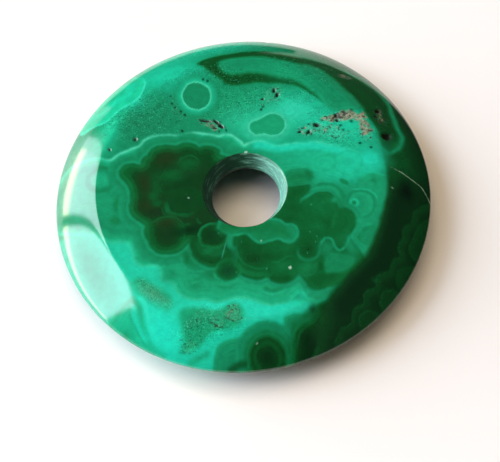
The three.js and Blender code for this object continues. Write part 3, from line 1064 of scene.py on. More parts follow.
RIGHT_GROWTH = (
    Zone(
        ((4.9, 1), (5.6, 1.25), (6.4, 1.2), (7.1, 1.05), (7.6, 0.6), (7.85, 0.1), (7.7, -0.5), (7.2, -0.9),
         (6.5, -0.95), (5.6, -0.9), (4.6, -0.8), (4.3, 0)),
        ((0, T.SEA), (0.14, green(5.7)), (0.4, green(5.5)), (0.9, T.GREEN)),
        soft=0.15, strength=0.9,
    ),
    Patch(7.3, 0.1, 0.4, 0.7, 25, green(4.3), 0.7),
    Patch(5.7, -1.7, 1.1, 0.9, 15, green(3.3), 0.9),
    Vein(
        ((7.3, -1.3), (8.3, -1.15), (9.5, -1.35), (10.2, -2), (10.55, -2.8), (10.7, -3.6)),
        0.36, green(5.4), 0.85, 0.15, 0.9,
    ),
    Vein(
        ((7, -1.75), (7.6, -1.6), (8.4, -1.55), (9.3, -1.7), (9.9, -2.3), (10.1, -3.2)),
        0.24, T.SEA, 0.85, 0.12,
    ),
    Vein(
        ((5.8, -3.3), (6.2, -2.65), (7, -2.25), (7.7, -1.95), (8.8, -1.95), (9.4, -2.3), (9.8, -3),
         (10, -4), (10.7, -4.15), (11.3, -4.7), (11.5, -5.5), (11.4, -6.4), (10.9, -7.2), (10.4, -7.8),
         (9.9, -8.7), (9.25, -9.15), (8.75, -8.7), (8.6, -7.8), (8, -7.5), (7.5, -8), (7.2, -8.8)),
        0.26, green(6.8), 0.75, 0.06,
    ),
    Patch(8.4, -4.2, 2.2, 1.7, 0, green(4.2), 0.7),
    Patch(8, -6, 1.5, 0.9, 0, green(3.5), 0.7),
    Patch(10.3, -5.8, 0.8, 1, 0, green(4.2), 0.7),
    Patch(6.3, -4.4, 0.9, 1.2, 0, green(3.6), 0.7),
    Patch(8.3, -3.4, 1.5, 0.9, 0, green(4.6), 0.6),
    Patch(5.1, -3.6, 0.9, 0.7, 0, green(2.8), 0.6),
    Patch(4.6, -4.8, 0.8, 0.5, 0, green(2.8), 0.6),
    Patch(10.4, -5.2, 0.8, 1.2, 0, green(3.6), 0.5),
    Patch(8.4, -5.7, 0.5, 0.35, 0, T.MOSS, 0.6),
    Patch(7.4, -6.1, 0.8, 0.5, 0, green(4.6), 0.5),
    Vein(((9.7, -4.2), (9.1, -5.6), (8.8, -6.8)), 0.3, green(4.6), 0.5, 0.25, 0.9),
    Patch(8, -8.7, 0.8, 0.9, 0, green(5.7), 0.8),
    Patch(10.4, -8.9, 0.6, 1.2, 10, green(6.2), 0.7),
    Vein(((9.4, -7), (9.45, -8), (9.3, -8.8)), 0.9, green(4.3), 0.8, 0.2, 0.9),
    Patch(9.5, -3.2, 0.3, 0.3, 0, T.SEA, 0.7),
    Patch(11.8, -6.1, 0.4, 0.3, -40, T.SEA, 0.6),
    Lobe(10.85, -1.25, 0.62, 0.32, -45, ((0, T.MID), (0.15, T.GREEN)), 0.12, 0.9),
    Vein(
        ((11.4, -2.4), (12.2, -2.3), (13.2, -2.6), (13.8, -3.4), (13.9, -4.2)),
        0.2, T.TURQUOISE, 0.6, 0.2,
    ),
    Vein(((11.7, -6.8), (12.4, -6.55), (13.1, -6.7)), 0.16, T.SEA, 0.7, 0.25),
)

UPPER_GRAIN = (
    Grains(-9.5, 10.2, 5.2, 3.2, 0, 0.8),
    Grains(-2, 13.6, 5, 2.2, 0, 0.7),
    Grains(0, 10.4, 5, 2.6, 0, 0.7),
    Grains(3, 9.8, 6, 2.2, 0, 0.9),
    Grains(1, 18.3, 9, 1.5, 0, 0.8),
    Grains(8, 13.5, 5, 2, -35, 0.55),
    Grains(10.5, 5.6, 4.5, 2.4, -15, 0.9),
    Grains(10.6, 6.6, 1.5, 0.7, -5, 1, 0.9),
    Grains(12.6, 6.5, 1.9, 0.75, -12, 1, 1),
    Grains(13.9, 4.9, 0.65, 1.6, 8, 1, 0.95),
    Grains(10, 5.3, 3, 1, -12, 1, 0.42),
    Grains(8.1, 5.6, 1.7, 0.8, -15, 0.9, 0.45),
    Grains(-2.2, 7.9, 1.4, 0.6, -25, 0.9, 0.55),
    Grains(4.6, 10.4, 1.5, 0.9, 40, 0.9, 0.3),
    Grains(15.9, 6.3, 0.6, 1.5, 5, 1, 0.6),
    Grains(12.6, 12.2, 0.9, 0.4, -10, 1, 0.55),
    Grains(-5.7, 10.8, 0.7, 1.6, 15, 0.9, 0.16),
    Lobe(12.2, 5.35, 1, 0.6, -10, ((0, T.TURQUOISE), (0.3, green(8.3))), 0.3, 0.9, 0.1),
)

LOWER_GRAIN = (
    Grains(-5, -15.2, 4, 2, 8, 0.75, 0.1),
    Grains(-2.5, -14.5, 0.8, 1.2, 15, 1, 0.45),
    Grains(-4.3, -15.4, 1, 0.6, -20, 1, 0.3),
    Grains(-7, -14.8, 1.1, 0.6, 0, 1, 0.2),
    Grains(-7.2, -16.9, 1.3, 0.6, 0, 1, 0.25),
    Patch(-10.2, -11.2, 1.6, 0.6, -48, mix(T.BROWN, T.SEA, 0.5), 0.5),
    Grains(-10.4, -11, 2.3, 0.8, -48, 0.7, 0.15),
)

# Tiny pores, pale specks, a scratch and two painted highlights.
PORES_SPECKS_AND_GLINTS = (
    # Near-black specks where tiny pores open, too small for the mesh: painted dark, partly as the shade
    # inside them.
    Specks(
        ((-6.2, 12.15), (-6.15, 11.2), (-5.85, 10.6), (-5.3, 10), (-4.9, 9.5), (-2.4, 13.7), (-2, 13.4),
         (-5.45, 7.6), (3.45, 9.25), (3.25, 8.9), (12.85, 7.25), (12.55, 5.85), (11.45, 5.55),
         (11.65, 5.05), (10.3, 5.6), (13.2, 3.15), (14.3, 2.4), (15.7, 10.6), (8.1, 6.3), (7.4, 5.9),
         (9.6, 6.5)),
        0.2, T.PITCH, 0.85,
    ),
    Specks(
        ((-3.25, 8.55), (-2.35, 8.3), (-2.25, 7.85), (-1.35, 8), (-0.85, 7.3), (-1.5, 6.95), (-2, 7.65),
         (-0.7, 6.9), (8.6, 5.6), (7.6, 5.9), (9.1, 5.3), (8.2, 5), (11.5, 6.6), (10.7, 6.3)),
        0.17, T.PITCH, 0.8,
    ),
    Specks(
        ((7, -3.4), (7.1, -7.1), (6.9, -7.8), (6.5, -6.6), (5.9, -9), (9.5, -3), (0.7, -8.9), (1.5, -10.1),
         (-5.8, -0.2), (-0.7, -6.5), (-2.9, -5.2), (-1.6, -10), (0.8, 4.5), (0.6, 4.8), (0.7, 5.3)),
        0.1, T.MINT, 0.3,
    ),
    Vein(((-2.25, -6.1), (-2.65, -7.3), (-3.1, -8.45)), 0.12, T.MINT, 0.35, 0.3),
    # Painted highlights: two bright glints, one of them on a nick at the hole's far rim.
    Specks(((3.95, -10.3), (1.05, 3.85)), 0.18, T.DUST, 0.85),
    # Small pale spots.
    Specks(((-0.5, -17.75), (1.3, -6.8), (-5.6, -0.7), (15.7, -2.6)), 0.13, T.DUST, 0.4),
)

GROWTH: tuple[Sequence[Marking], ...] = (
    UPPER_GROUND, CRESCENT, UPPER_GRAIN, RIM_LOBE, ROUND_EYE, TWIN_EYE, LOWER_GROUND, BODY, BOTTOM_LOBES,
    RIGHT_BODY, LEFT_GROWTH, LOW_GROWTH, RIGHT_GROWTH, RIGHT_BEVEL_WITH_SHADE, LOWER_GRAIN, PORES_SPECKS_AND_GLINTS,
)


def grown(x: Array, y: Array) -> Canvas:
    """Lays every marking in order.

    Args:
        x: places along X in millimetres.
        y: places along Y in millimetres.

    Returns:
        The canvas with its colours and masks.
    """
    canvas = Canvas(x, y)
    canvas.lay(np.ones(x.shape), light_of(T.MID))
    for region in GROWTH:
        for marking in region:
            marking.lay_on(canvas)
    return canvas


# Surface
MM = 0.001


@dataclass(frozen=True)
class Pore:
    """An open pore in the polished face: its place, its opening's size, its depth and its turn in degrees."""

    x: float
    y: float
    length: float
    width: float
    depth: float
    turn: float


PORES = (
    Pore(16.15, 3.75, 1.2, 1.05, 0.5, 20),
    Pore(15.68, 7.22, 0.8, 0.5, 0.3, 35),
    Pore(15.42, 6.4, 0.42, 0.34, 0.22, 0),
    Pore(8.9, 6.05, 0.74, 0.46, 0.28, -15),
    Pore(7.95, 5.35, 0.5, 0.42, 0.24, 60),
    Pore(7.0, 5.5, 0.36, 0.28, 0.18, 0),
    Pore(11.08, 6.9, 0.46, 0.36, 0.22, 60),
    Pore(11.15, 6.25, 0.46, 0.32, 0.2, -30),
    Pore(5.25, 10.42, 0.6, 0.38, 0.26, 70),
    Pore(4.97, 11.05, 0.48, 0.32, 0.24, 85),
    Pore(3.6, 10.15, 0.32, 0.26, 0.16, 0),
    Pore(-2.85, 8.45, 0.95, 0.3, 0.22, -12),
    Pore(-1.7, 8.2, 0.72, 0.3, 0.24, -40),
    Pore(-1.2, 7.52, 0.92, 0.34, 0.26, -48),
    Pore(-1.88, 7.4, 0.5, 0.24, 0.16, -25),
    Pore(-10.5, 7.35, 0.36, 0.3, 0.2, 60),
    Pore(-13.35, 6.5, 0.3, 0.26, 0.16, 0),
)


@dataclass
class Section:
    """The donut's outline in cross-section, row by row, in millimetres.

    Each row is one turn round the stone. Its middle lies between the hole's middle and the disc's
    by the share in middle, and the normal is given as its outward and upward parts.
    """

    radius: Array
    height: Array
    middle: Array
    out: Array
    up: Array

    def joined(self, other: "Section") -> "Section":
        """Gives this section with another one's rows after it."""
        return Section(*(np.concatenate(pair) for pair in zip(vars(self).values(), vars(other).values())))

    def backward(self) -> "Section":
        """Gives the same rows from the last to the first."""
        return Section(*(values[::-1] for values in vars(self).values()))


def flat_section(radii: Spot, middles: Spot, height: float, upward: int, share: Array) -> Section:
    """Lists the rows of a flat face.

    Args:
        radii: the radius at the two ends.
        middles: the share of the hole's middle at the two ends.
        height: the face's height.
        upward: 1 for a face that looks up and -1 for one that looks down.
        share: how far each row is from the first end to the second, from 0 to 1.

    Returns:
        The rows.
    """
    radius, middle = (first + (last - first) * share for first, last in (radii, middles))
    ones = np.ones(len(share))
    return Section(radius, height * ones, middle, 0 * ones, upward * ones)


@dataclass(frozen=True)
class Donut:
    """The stone: a disc with superellipse shoulders and a countersunk hole, with its pores and its growth.

    Lengths are in millimetres and angles in degrees. The rows and columns set how fine the surface is.
    """

    disc_radius: float = 20.0
    thickness: float = 6.4
    flat_radius: float = 15.3
    shoulder_start: float = 1.25
    shoulder_end: float = 1.3
    hole_x: float = 0.4
    hole_y: float = -0.55
    mouth_radius: float = 4.36
    neck_radius: float = 3.6
    neck_depth: float = 1.8
    foot_radius: float = 6.1
    lip: float = 0.16
    neck_round: float = 0.12
    chip_bearing: float = 75.0
    chip_length: float = 0.8
    chip_height: float = 0.9
    chip_depth: float = 0.16
    fine_columns: int = 640
    coarse_columns: int = 320
    face_rows: int = 68
    shoulder_rows: int = 34
    lower_shoulder_rows: int = 22
    underside_rows: int = 34
    lip_rows: int = 4
    lower_wall_rows: int = 9
    upper_wall_rows: int = 6
    shoulder_samples: int = 2000
    pore_pull: float = 0.5
    pore_reach: float = 0.6
    pore_raggedness: float = 0.22
    pore_cell: float = 0.22
    pore_edge: Spot = (1.12, 0.8)
    chip_raggedness: float = 0.2
    chip_cell: float = 0.3
    chip_edge: Spot = (1.1, 0.7)
    chip_shade_share: float = 0.8
    lean_x: float = 0.42
    lean_y: float = -0.35
    fold: float = 1.5
    fold_cell: float = 5.5
    pit_depth: float = 0.05
    pit_cell: float = 0.42
    fine_pit_cell: float = 0.2
    fine_pit_share: float = 0.6
    pit_edge: Spot = (0.35, 0.95)
    pit_mask_edge: Spot = (0.2, 0.7)
    pitted_from: Spot = (0.3, 0.9)
    wave_height: float = 0.004
    wave_cell: float = 3.1
    wall_steepness: float = 0.6
    wall_margin: float = 0.4
    score_depth: float = 0.012
    score_cell: float = 0.23
    score_stretch: float = 1.2
    light_bearing: float = 8.594
    powder_and_light_edge: Spot = (-0.1, 0.95)
    powder_and_light_drop: float = 0.2
    crumble_reach: Spot = (2.0, 0.3)
    lines_reach: Spot = (3.0, 1.0)

    @property
    def half(self) -> float:
        """Half the thickness, the height of the rim."""
        return self.thickness / 2

    @property
    def neck(self) -> float:
        """The height of the hole's neck."""
        return self.thickness - self.neck_depth

    def shoulder(self, rows: int) -> tuple[Array, Array, Array, Array]:
        """Works out rows of the shoulder, spaced evenly along its length with both ends included.

        Args:
            rows: how many steps the shoulder takes.

        Returns:
            Radius, height above the middle plane, and the normal's outward and upward parts.
        """
        fine = np.linspace(0, math.pi / 2, self.shoulder_samples)
        radius, height, _, _ = self.superellipse(fine)
        walked = np.concatenate([[0], np.cumsum(np.hypot(np.diff(radius), np.diff(height)))])
        return self.superellipse(np.interp(np.linspace(0, walked[-1], rows + 1), walked, fine))

    def superellipse(self, angles: Array) -> tuple[Array, Array, Array, Array]:
        """Works out the shoulder's quarter superellipse.

        The radius runs out by sine to the power 2 over the first exponent, and the height above the
        middle plane falls as cosine to the power 2 over the second one.

        Args:
            angles: turns from 0 at the flat face to a quarter circle at the rim.

        Returns:
            Radius, height above the middle plane, and the normal's outward and upward parts.
        """
        span = self.disc_radius - self.flat_radius
        along = np.clip(np.sin(angles), 0, 1) ** (2 / self.shoulder_start)
        up = np.clip(np.cos(angles), 0, 1) ** (2 / self.shoulder_end)
        steep_out = np.maximum(along, 1e-6) ** (self.shoulder_start - 1) * self.shoulder_start / span
        steep_up = np.maximum(up, 1e-6) ** (self.shoulder_end - 1) * self.shoulder_end / self.half
        length = np.hypot(steep_out, steep_up)
        return self.flat_radius + span * along, self.half * up, steep_out / length, steep_up / length

    def lip_section(self, mouth: float, face_height: float, upward: int) -> Section:
        """Works out a worn edge of the hole: a quarter circle from its wall to a face.

        Args:
            mouth: the hole's radius at the edge.
            face_height: the face's height.
            upward: 1 for the upper face and -1 for the underside.

        Returns:
            The rows from the wall to next to the face.
        """
        angles = np.linspace(0, math.pi / 2, self.lip_rows + 1)[:-1]
        rise = np.sin(angles)
        radius = mouth + self.lip * (1 - np.cos(angles))
        height = face_height - upward * self.lip * (1 - rise)
        return Section(radius, height, np.ones(len(angles)), -np.cos(angles), upward * rise)

    def fine_section(self) -> Section:
        """Lists the rows from the hole's upper lip over the face and shoulder to the underside's edge.

        Returns:
            The rows of the fine grid.
        """
        lip = self.lip_section(self.mouth_radius, self.thickness, 1)
        share = np.linspace(0, 1, self.face_rows + 1)[:-1]
        radii = (self.mouth_radius + self.lip, self.flat_radius)
        face = flat_section(radii, (1, 0), self.thickness, 1, share)
        radius, height, out, up = self.shoulder(self.shoulder_rows)
        upper = Section(radius, self.half + height, np.zeros(len(radius)), out, up)
        radius, height, out, up = (values[::-1][1:] for values in self.shoulder(self.lower_shoulder_rows))
        lower = Section(radius, self.half - height, np.zeros(len(radius)), out, -up)
        return lip.joined(face).joined(upper).joined(lower)

    def coarse_section(self) -> Section:
        """Lists the rows from just inside the underside's edge to its lip and up the hole's wall.

        Returns:
            The rows of the coarse grid.
        """
        share = np.linspace(0, 1, self.underside_rows + 1)[1:]
        radii = (self.flat_radius, self.foot_radius + self.lip)
        under = flat_section(radii, (0, 1), 0.0, -1, share)
        lip = self.lip_section(self.foot_radius, 0.0, -1).backward()
        lower = self.cone(self.foot_radius, self.lip, self.neck - self.neck_round, self.lower_wall_rows)
        mouth_height = self.thickness - self.lip
        upper = self.cone(self.mouth_radius, mouth_height, self.neck + self.neck_round, self.upper_wall_rows)
        return under.joined(lip).joined(lower).joined(upper.backward())

    def cone(self, wide: float, start: float, end: float, rows: int) -> Section:
        """Works out a cone of the hole's wall, straight from a wide end to the neck.

        Args:
            wide: radius at the start, which another section holds.
            start: height of the wide end.
            end: height of the narrow end.
            rows: how many rows it takes.

        Returns:
            The rows from next to the wide end to the neck.
        """
        share = np.linspace(0, 1, rows + 1)[1:]
        rise, run = end - start, self.neck_radius - wide
        length = math.hypot(rise, run)
        ones = np.ones(rows)
        out, up = -abs(rise) / length, math.copysign(run / length, -rise)
        return Section(wide + run * share, start + rise * share, ones, out * ones, up * ones)

    def placed(self, section: Section, columns: int) -> tuple[Array, Array]:
        """Turns a section into points: each row is a circle about its own middle.

        Args:
            section: the rows.
            columns: points round each circle.

        Returns:
            The points and their normals, row after row.
        """
        bearing = np.arange(columns) / columns * 2 * math.pi
        cosine, sine = np.cos(bearing)[None], np.sin(bearing)[None]
        radius, height, middle, out, up = (values[:, None] for values in vars(section).values())
        x = middle * self.hole_x + radius * cosine
        y = middle * self.hole_y + radius * sine
        points = np.stack([x, y, np.broadcast_to(height, x.shape)], -1)
        normals = np.stack([out * cosine, out * sine, np.broadcast_to(up, x.shape)], -1)
        return points.reshape(-1, 3), normals.reshape(-1, 3)

    def surface_height(self, radius: Array) -> Array:
        """Gives the upper surface's height at radii from the disc's middle."""
        along = np.clip((radius - self.flat_radius) / (self.disc_radius - self.flat_radius), 0, 1)
        return self.half * (1 + (1 - along**self.shoulder_start) ** (1 / self.shoulder_end))

    def surface_normal(self, x: float, y: float, span: float = 0.01) -> Array:
        """Gives the upper surface's normal at a place, from the slope between two nearby radii.

        Args:
            x: the place along X.
            y: the place along Y.
            span: how far the two radii are from the place's own.

        Returns:
            The normal, of length 1.
        """
        radius = math.hypot(x, y)
        slope = (self.surface_height(radius + span) - self.surface_height(radius - span)) / (2 * span)
        normal = np.array([-slope * x / radius, -slope * y / radius, 1.0])
        return normal / np.linalg.norm(normal)

    def sink_pores(self, points: Array, normals: Array) -> tuple[Array, Array]:
        """Sinks the pores into the surface.

        The grid is first drawn toward each pore, p - s (p - c) exp(-|p - c| squared over 2 w squared),
        so that its rim gets enough points. Then a point inside moves in along the pore's normal by
        depth times the root of 1 - q squared, with q its ragged elliptical radius.

        Args:
            points: the surface's points.
            normals: their normals.

        Returns:
            The moved points, and how far inside a pore each is, from 0 to 1.
        """
        ragged = ValueNoise(Seed.PORE_EDGE)
        pit = np.zeros(len(points))
        for pore in PORES:
            normal = self.surface_normal(pore.x, pore.y)
            centre = np.array([pore.x, pore.y, self.surface_height(math.hypot(pore.x, pore.y))])
            facing = normals @ normal > 0.5
            offset = points - centre
            reach = self.pore_reach * pore.length
            pull = self.pore_pull * np.exp(-(offset**2).sum(1) / (2 * reach**2)) * facing
            flat = offset - (offset @ normal)[:, None] * normal
            points = points - pull[:, None] * flat
            flat = flat * (1 - pull[:, None])
            turn = math.radians(pore.turn)
            along = np.array([math.cos(turn), math.sin(turn), 0])
            along = along - (along @ normal) * normal
            along /= np.linalg.norm(along)
            u, v = flat @ along / (pore.length / 2), flat @ np.cross(normal, along) / (pore.width / 2)
            rough = ragged.at(points[:, 0], points[:, 1], self.pore_cell)
            q = np.hypot(u, v) * (1 + self.pore_raggedness * rough)
            sunk = np.sqrt(np.clip(1 - q**2, 0, 1)) * facing
            points = points - (pore.depth * sunk)[:, None] * normal
            pit = np.maximum(pit, smooth_step(*self.pore_edge, q) * facing)
        return points, pit

    def sink_chip(self, points: Array, normals: Array) -> tuple[Array, Array]:
        """Sinks the chip into the rim, as a ragged half ellipsoid.

        Args:
            points: the surface's points.
            normals: their normals before the pores.

        Returns:
            The moved points, and how far inside the chip each is, from 0 to 1.
        """
        bearing = math.radians(self.chip_bearing)
        outward = np.array([math.cos(bearing), math.sin(bearing), 0.0])
        offset = points - outward * self.disc_radius - np.array([0, 0, self.half])
        aside = offset @ np.array([-outward[1], outward[0], 0.0])
        q = np.hypot(aside / (self.chip_length / 2), offset[:, 2] / (self.chip_height / 2))
        rough = ValueNoise(Seed.PORE_EDGE).at(points[:, 0] + 9, points[:, 2] * 3, self.chip_cell)
        q = q * (1 + self.chip_raggedness * rough)
        facing = normals @ outward > 0
        sunk = np.sqrt(np.clip(1 - q**2, 0, 1)) * facing
        mask = smooth_step(*self.chip_edge, q) * facing
        return points - (self.chip_depth * sunk)[:, None] * outward, mask

    def growth_places(self, points: Array) -> tuple[Array, Array, Array]:
        """Says where in the growth map each point reads.

        Depth is how far a point lies under the upper surface. The upper surface reads its own place,
        and deeper points read a place that leans away and folds with the depth, so that the bands go
        round the rim and down the hole without a break.

        Args:
            points: the surface's points.

        Returns:
            The places along X and Y, and the depth.
        """
        x, y, z = points.T
        depth = np.clip(self.surface_height(np.hypot(x, y)) - z, 0, self.thickness)
        fold = self.fold * depth / self.thickness
        lean_x = self.lean_x * depth + fold * ValueNoise(Seed.FOLD_X).at(x, y, self.fold_cell)
        lean_y = self.lean_y * depth + fold * ValueNoise(Seed.FOLD_Y).at(x, y, self.fold_cell)
        return x + lean_x, y + lean_y, depth

    def worn(
        self, points: Array, normals: Array, depth: Array, canvas: Canvas
    ) -> tuple[Array, dict[str, Array]]:
        """Presses fine pits into crumbly ground, scores the drilled wall and waves the polish a little.

        The underside, at the greatest depth, stays flat.

        Args:
            points: the surface's points.
            normals: their normals.
            depth: how far each lies under the upper surface.
            canvas: the growth at the points.

        Returns:
            The moved points, and the finish's masks by name.
        """
        x, y, z = points.T
        crumble = canvas.crumble * smooth_step(*self.crumble_reach, depth)
        pits, sway, drill = map(ValueNoise, (Seed.PITS, Seed.POLISH, Seed.DRILL))
        rough = pits.at(x, y, self.pit_cell) + self.fine_pit_share * pits.at(x + 7, y, self.fine_pit_cell)
        sunk = self.pit_depth * smooth_step(*self.pit_edge, rough) * smooth_step(*self.pitted_from, crumble)
        from_hole_x, from_hole_y = x - self.hole_x, y - self.hole_y
        bearing = np.arctan2(from_hole_y, from_hole_x)
        wall = (normals[:, 2] ** 2 < self.wall_steepness) & (
            np.hypot(from_hole_x, from_hole_y) < self.foot_radius + self.wall_margin
        )
        score = self.score_depth * drill.at(bearing * self.score_stretch, z, self.score_cell) * wall
        polished = (1 - wall) * (depth < self.thickness - 0.1)
        wave = self.wave_height * sway.at(x + 3 * z, y, self.wave_cell) * polished
        # Painted light: the wall's pale powdery mask grows toward the side that faces the window, and reaches
        # down only a little under the neck.
        lit = smooth_step(*self.powder_and_light_edge, np.cos(bearing - math.radians(self.light_bearing)))
        masks = {
            "grain": canvas.grain, "band": canvas.band, "crumble": crumble,
            "crumble_pit": smooth_step(*self.pit_mask_edge, rough) * crumble,
            "wall": wall.astype(float), "powder": wall * lit * (z > self.neck - self.powder_and_light_drop),
            "lines": canvas.lines * smooth_step(*self.lines_reach, depth),
        }
        for line in Line:
            masks[f"{line.value}_side"] = canvas.side[line]
            masks[f"{line.value}_mask"] = canvas.mask[line]
        return points - normals * (sunk + score + wave)[:, None], masks

    def faces(self, fine_rows: int, coarse_rows: int) -> Array:
        """Joins the fine and the coarse rows into one closed skin.

        Two rows of the same count are joined by squares split in two triangles. Where a fine row
        meets a coarse one, each coarse step takes the two fine steps beside it in three triangles.

        Args:
            fine_rows: rows of the fine grid.
            coarse_rows: rows of the coarse grid.

        Returns:
            Triangles as three point numbers each.
        """
        fine, coarse = self.fine_columns, self.coarse_columns
        start = fine_rows * fine

        def band(first: Array, second: Array) -> Array:
            """Joins two rows of equal count, the second one further along the section."""
            b, d = np.roll(first, -1), np.roll(second, -1)
            return np.concatenate([np.stack([first, second, b], 1), np.stack([b, second, d], 1)])

        def stitch(many: Array, few: Array) -> Array:
            """Joins a fine row to a coarse one that is further along the section.

            Args:
                many: the fine row's point numbers.
                few: the coarse row's.

            Returns:
                Triangles as three point numbers each.
            """
            a, b, c = many[0::2], many[1::2], np.roll(many, -2)[0::2]
            d, e = few, np.roll(few, -1)
            return np.concatenate([np.stack(corners, 1) for corners in ((a, d, b), (b, d, e), (b, e, c))])

        fine_ids = np.arange(start).reshape(fine_rows, fine)
        coarse_ids = start + np.arange(coarse_rows * coarse).reshape(coarse_rows, coarse)
        bands = [band(*pair) for ids in (fine_ids, coarse_ids) for pair in zip(ids[:-1], ids[1:])]
        bands.append(stitch(fine_ids[-1], coarse_ids[0]))
        bands.append(stitch(fine_ids[0], coarse_ids[-1])[:, ::-1])
        return np.concatenate(bands)

    def build(self) -> bpy.types.Object:
        """Builds the stone's mesh with its attributes.

        Returns:
            The object, in metres, at the origin.
        """
        fine, coarse = self.fine_section(), self.coarse_section()
        grids = self.placed(fine, self.fine_columns), self.placed(coarse, self.coarse_columns)
        points, normals = (np.concatenate(parts) for parts in zip(*grids))
        points, pit = self.sink_pores(points, normals)
        points, chip = self.sink_chip(points, normals)
        x, y, depth = self.growth_places(points)
        canvas = grown(x, y)
        points, masks = self.worn(points, normals, depth, canvas)
        # The chip darkens with the pores' shade: painted shade of its hollow.
        masks["pit"] = np.maximum(pit, self.chip_shade_share * chip)
        triangles = self.faces(len(fine.radius), len(coarse.radius))
        mesh = bpy.data.meshes.new("stone_donut")
        mesh.from_pydata((points * MM).tolist(), [], triangles.tolist())
        mesh.update()
        mesh.polygons.foreach_set("use_smooth", np.ones(len(triangles), bool))
        colour = np.concatenate([canvas.colour, np.ones((len(points), 1))], 1)
        layer = mesh.attributes.new("growth_colour", "FLOAT_COLOR", "POINT")
        layer.data.foreach_set("color", colour.astype(np.float32).ravel())
        for name, values in masks.items():
            attribute = mesh.attributes.new(name, "FLOAT", "POINT")
            attribute.data.foreach_set("value", values.astype(np.float32))
        return linked("stone_donut", mesh)


def linked(name: str, data: bpy.types.ID) -> bpy.types.Object:
    """Adds an object that shows a mesh, a light or a camera.

    Args:
        name: the object's name.
        data: what it shows.

    Returns:
        The object, at the origin.
    """
    piece = bpy.data.objects.new(name, data)
    bpy.context.scene.collection.objects.link(piece)
    return piece


# Finish
class Signal:
    """A value that runs through a material's nodes. Its sums and products are Math nodes."""

    def __init__(self, bench: "Bench", socket: bpy.types.NodeSocket) -> None:
        """Keeps the node tree's bench and the socket that gives the value."""
        self.bench = bench
        self.socket = socket

    def with_math(self, kind: str, other: "Value" = 0.0) -> "Signal":
        """Adds a Math node that takes this value first, and gives its result."""
        return self.bench.run("ShaderNodeMath", 0, {0: self, 1: other}, operation=kind)

    def __add__(self, other: "Value") -> "Signal":
        """Adds a value."""
        return self.with_math("ADD", other)

    def __sub__(self, other: "Value") -> "Signal":
        """Takes a value away."""
        return self.with_math("SUBTRACT", other)

    def __mul__(self, other: "Value") -> "Signal":
        """Multiplies by a value."""
        return self.with_math("MULTIPLY", other)

    def most(self, other: "Value") -> "Signal":
        """Takes the greater of two values."""
        return self.with_math("MAXIMUM", other)

    def between(self, low: float, high: float) -> "Signal":
        """Rises smoothly from 0 to 1 while the value goes from low to high."""
        ends = {"Value": self, "From Min": low, "From Max": high}
        return self.bench.run("ShaderNodeMapRange", "Result", ends, interpolation_type="SMOOTHSTEP")


Value = Signal | float | Sequence[float]


@dataclass(frozen=True)
class Grit:
    """A noise of the finish, its cell in millimetres, and the window in which it rises from 0 to 1."""

    cell: float
    detail: float
    rough: float
    low: float = 0.0
    high: float = 1.0


class Bench:
    """A material's node tree, with a method for each kind of node that the finish uses."""

    def __init__(self, material: bpy.types.Material) -> None:
        """Clears the material's nodes.

        Args:
            material: the material to fill.
        """
        material.use_nodes = True
        self.tree = material.node_tree
        self.tree.nodes.clear()

    def run(self, kind: str, output: str | int, inputs: dict[str | int, Value], **settings: object) -> Signal:
        """Adds a node, sets its properties and feeds its sockets.

        Args:
            kind: the node's type.
            output: the output that is asked for, by name or place.
            inputs: what goes into each socket, by name or place.
            settings: the node's properties.

        Returns:
            The value of that output.
        """
        node = self.tree.nodes.new(kind)
        for name, setting in settings.items():
            setattr(node, name, setting)
        for name, value in inputs.items():
            if isinstance(value, Signal):
                self.tree.links.new(value.socket, node.inputs[name])
            else:
                node.inputs[name].default_value = value
        return Signal(self, node.outputs[output])

    @cached_property
    def where(self) -> Signal:
        """Places on the object, in metres."""
        return self.run("ShaderNodeTexCoord", "Object", {})

    def attribute(self, name: str, output: str = "Fac") -> Signal:
        """Reads a number or a colour kept with the mesh."""
        return self.run("ShaderNodeAttribute", output, {}, attribute_name=name)

    def blend(self, share: Value, first: Value, second: Value, kind: str = "MIX") -> Signal:
        """Blends two colours."""
        inputs = {"Factor": share, 6: first, 7: second}
        return self.run("ShaderNodeMix", 2, inputs, data_type="RGBA", blend_type=kind)

    def thread(self, where: Signal, cell: float) -> Signal:
        """Makes noise along one number, with a cell size in that number's unit."""
        inputs = {"W": where, "Scale": 1.0 / cell, "Detail": 1.0}
        return self.run("ShaderNodeTexNoise", "Fac", inputs, noise_dimensions="1D")

    def noise(self, grit: Grit, where: Signal | None = None) -> Signal:
        """Makes noise.

        Args:
            grit: its cell, detail and roughness.
            where: where it is read; None reads it on the object.

        Returns:
            The noise.
        """
        inputs = {
            "Vector": where or self.where, "Scale": 1.0 / (grit.cell * MM), "Detail": grit.detail,
            "Roughness": grit.rough,
        }
        return self.run("ShaderNodeTexNoise", "Fac", inputs)

    def spots(self, grit: Grit, where: Signal | None = None) -> Signal:
        """Makes noise and raises it to spots by its window."""
        return self.noise(grit, where).between(grit.low, grit.high)

    def surface(self, colour: Value, roughness: Value, **inputs: Value) -> None:
        """Ends the tree in a Principled surface.

        Args:
            colour: its base colour.
            roughness: its roughness.
            inputs: its other sockets, by name.
        """
        inputs |= {"Base Color": colour, "Roughness": roughness}
        shader = self.run("ShaderNodeBsdfPrincipled", 0, inputs)
        output = self.tree.nodes.new("ShaderNodeOutputMaterial")
        self.tree.links.new(shader.socket, output.inputs["Surface"])


def flat_colour(shade: Shade) -> tuple[float, float, float, float]:
    """Gives a shade as a colour with full alpha."""
    return (*light_of(shade), 1.0)


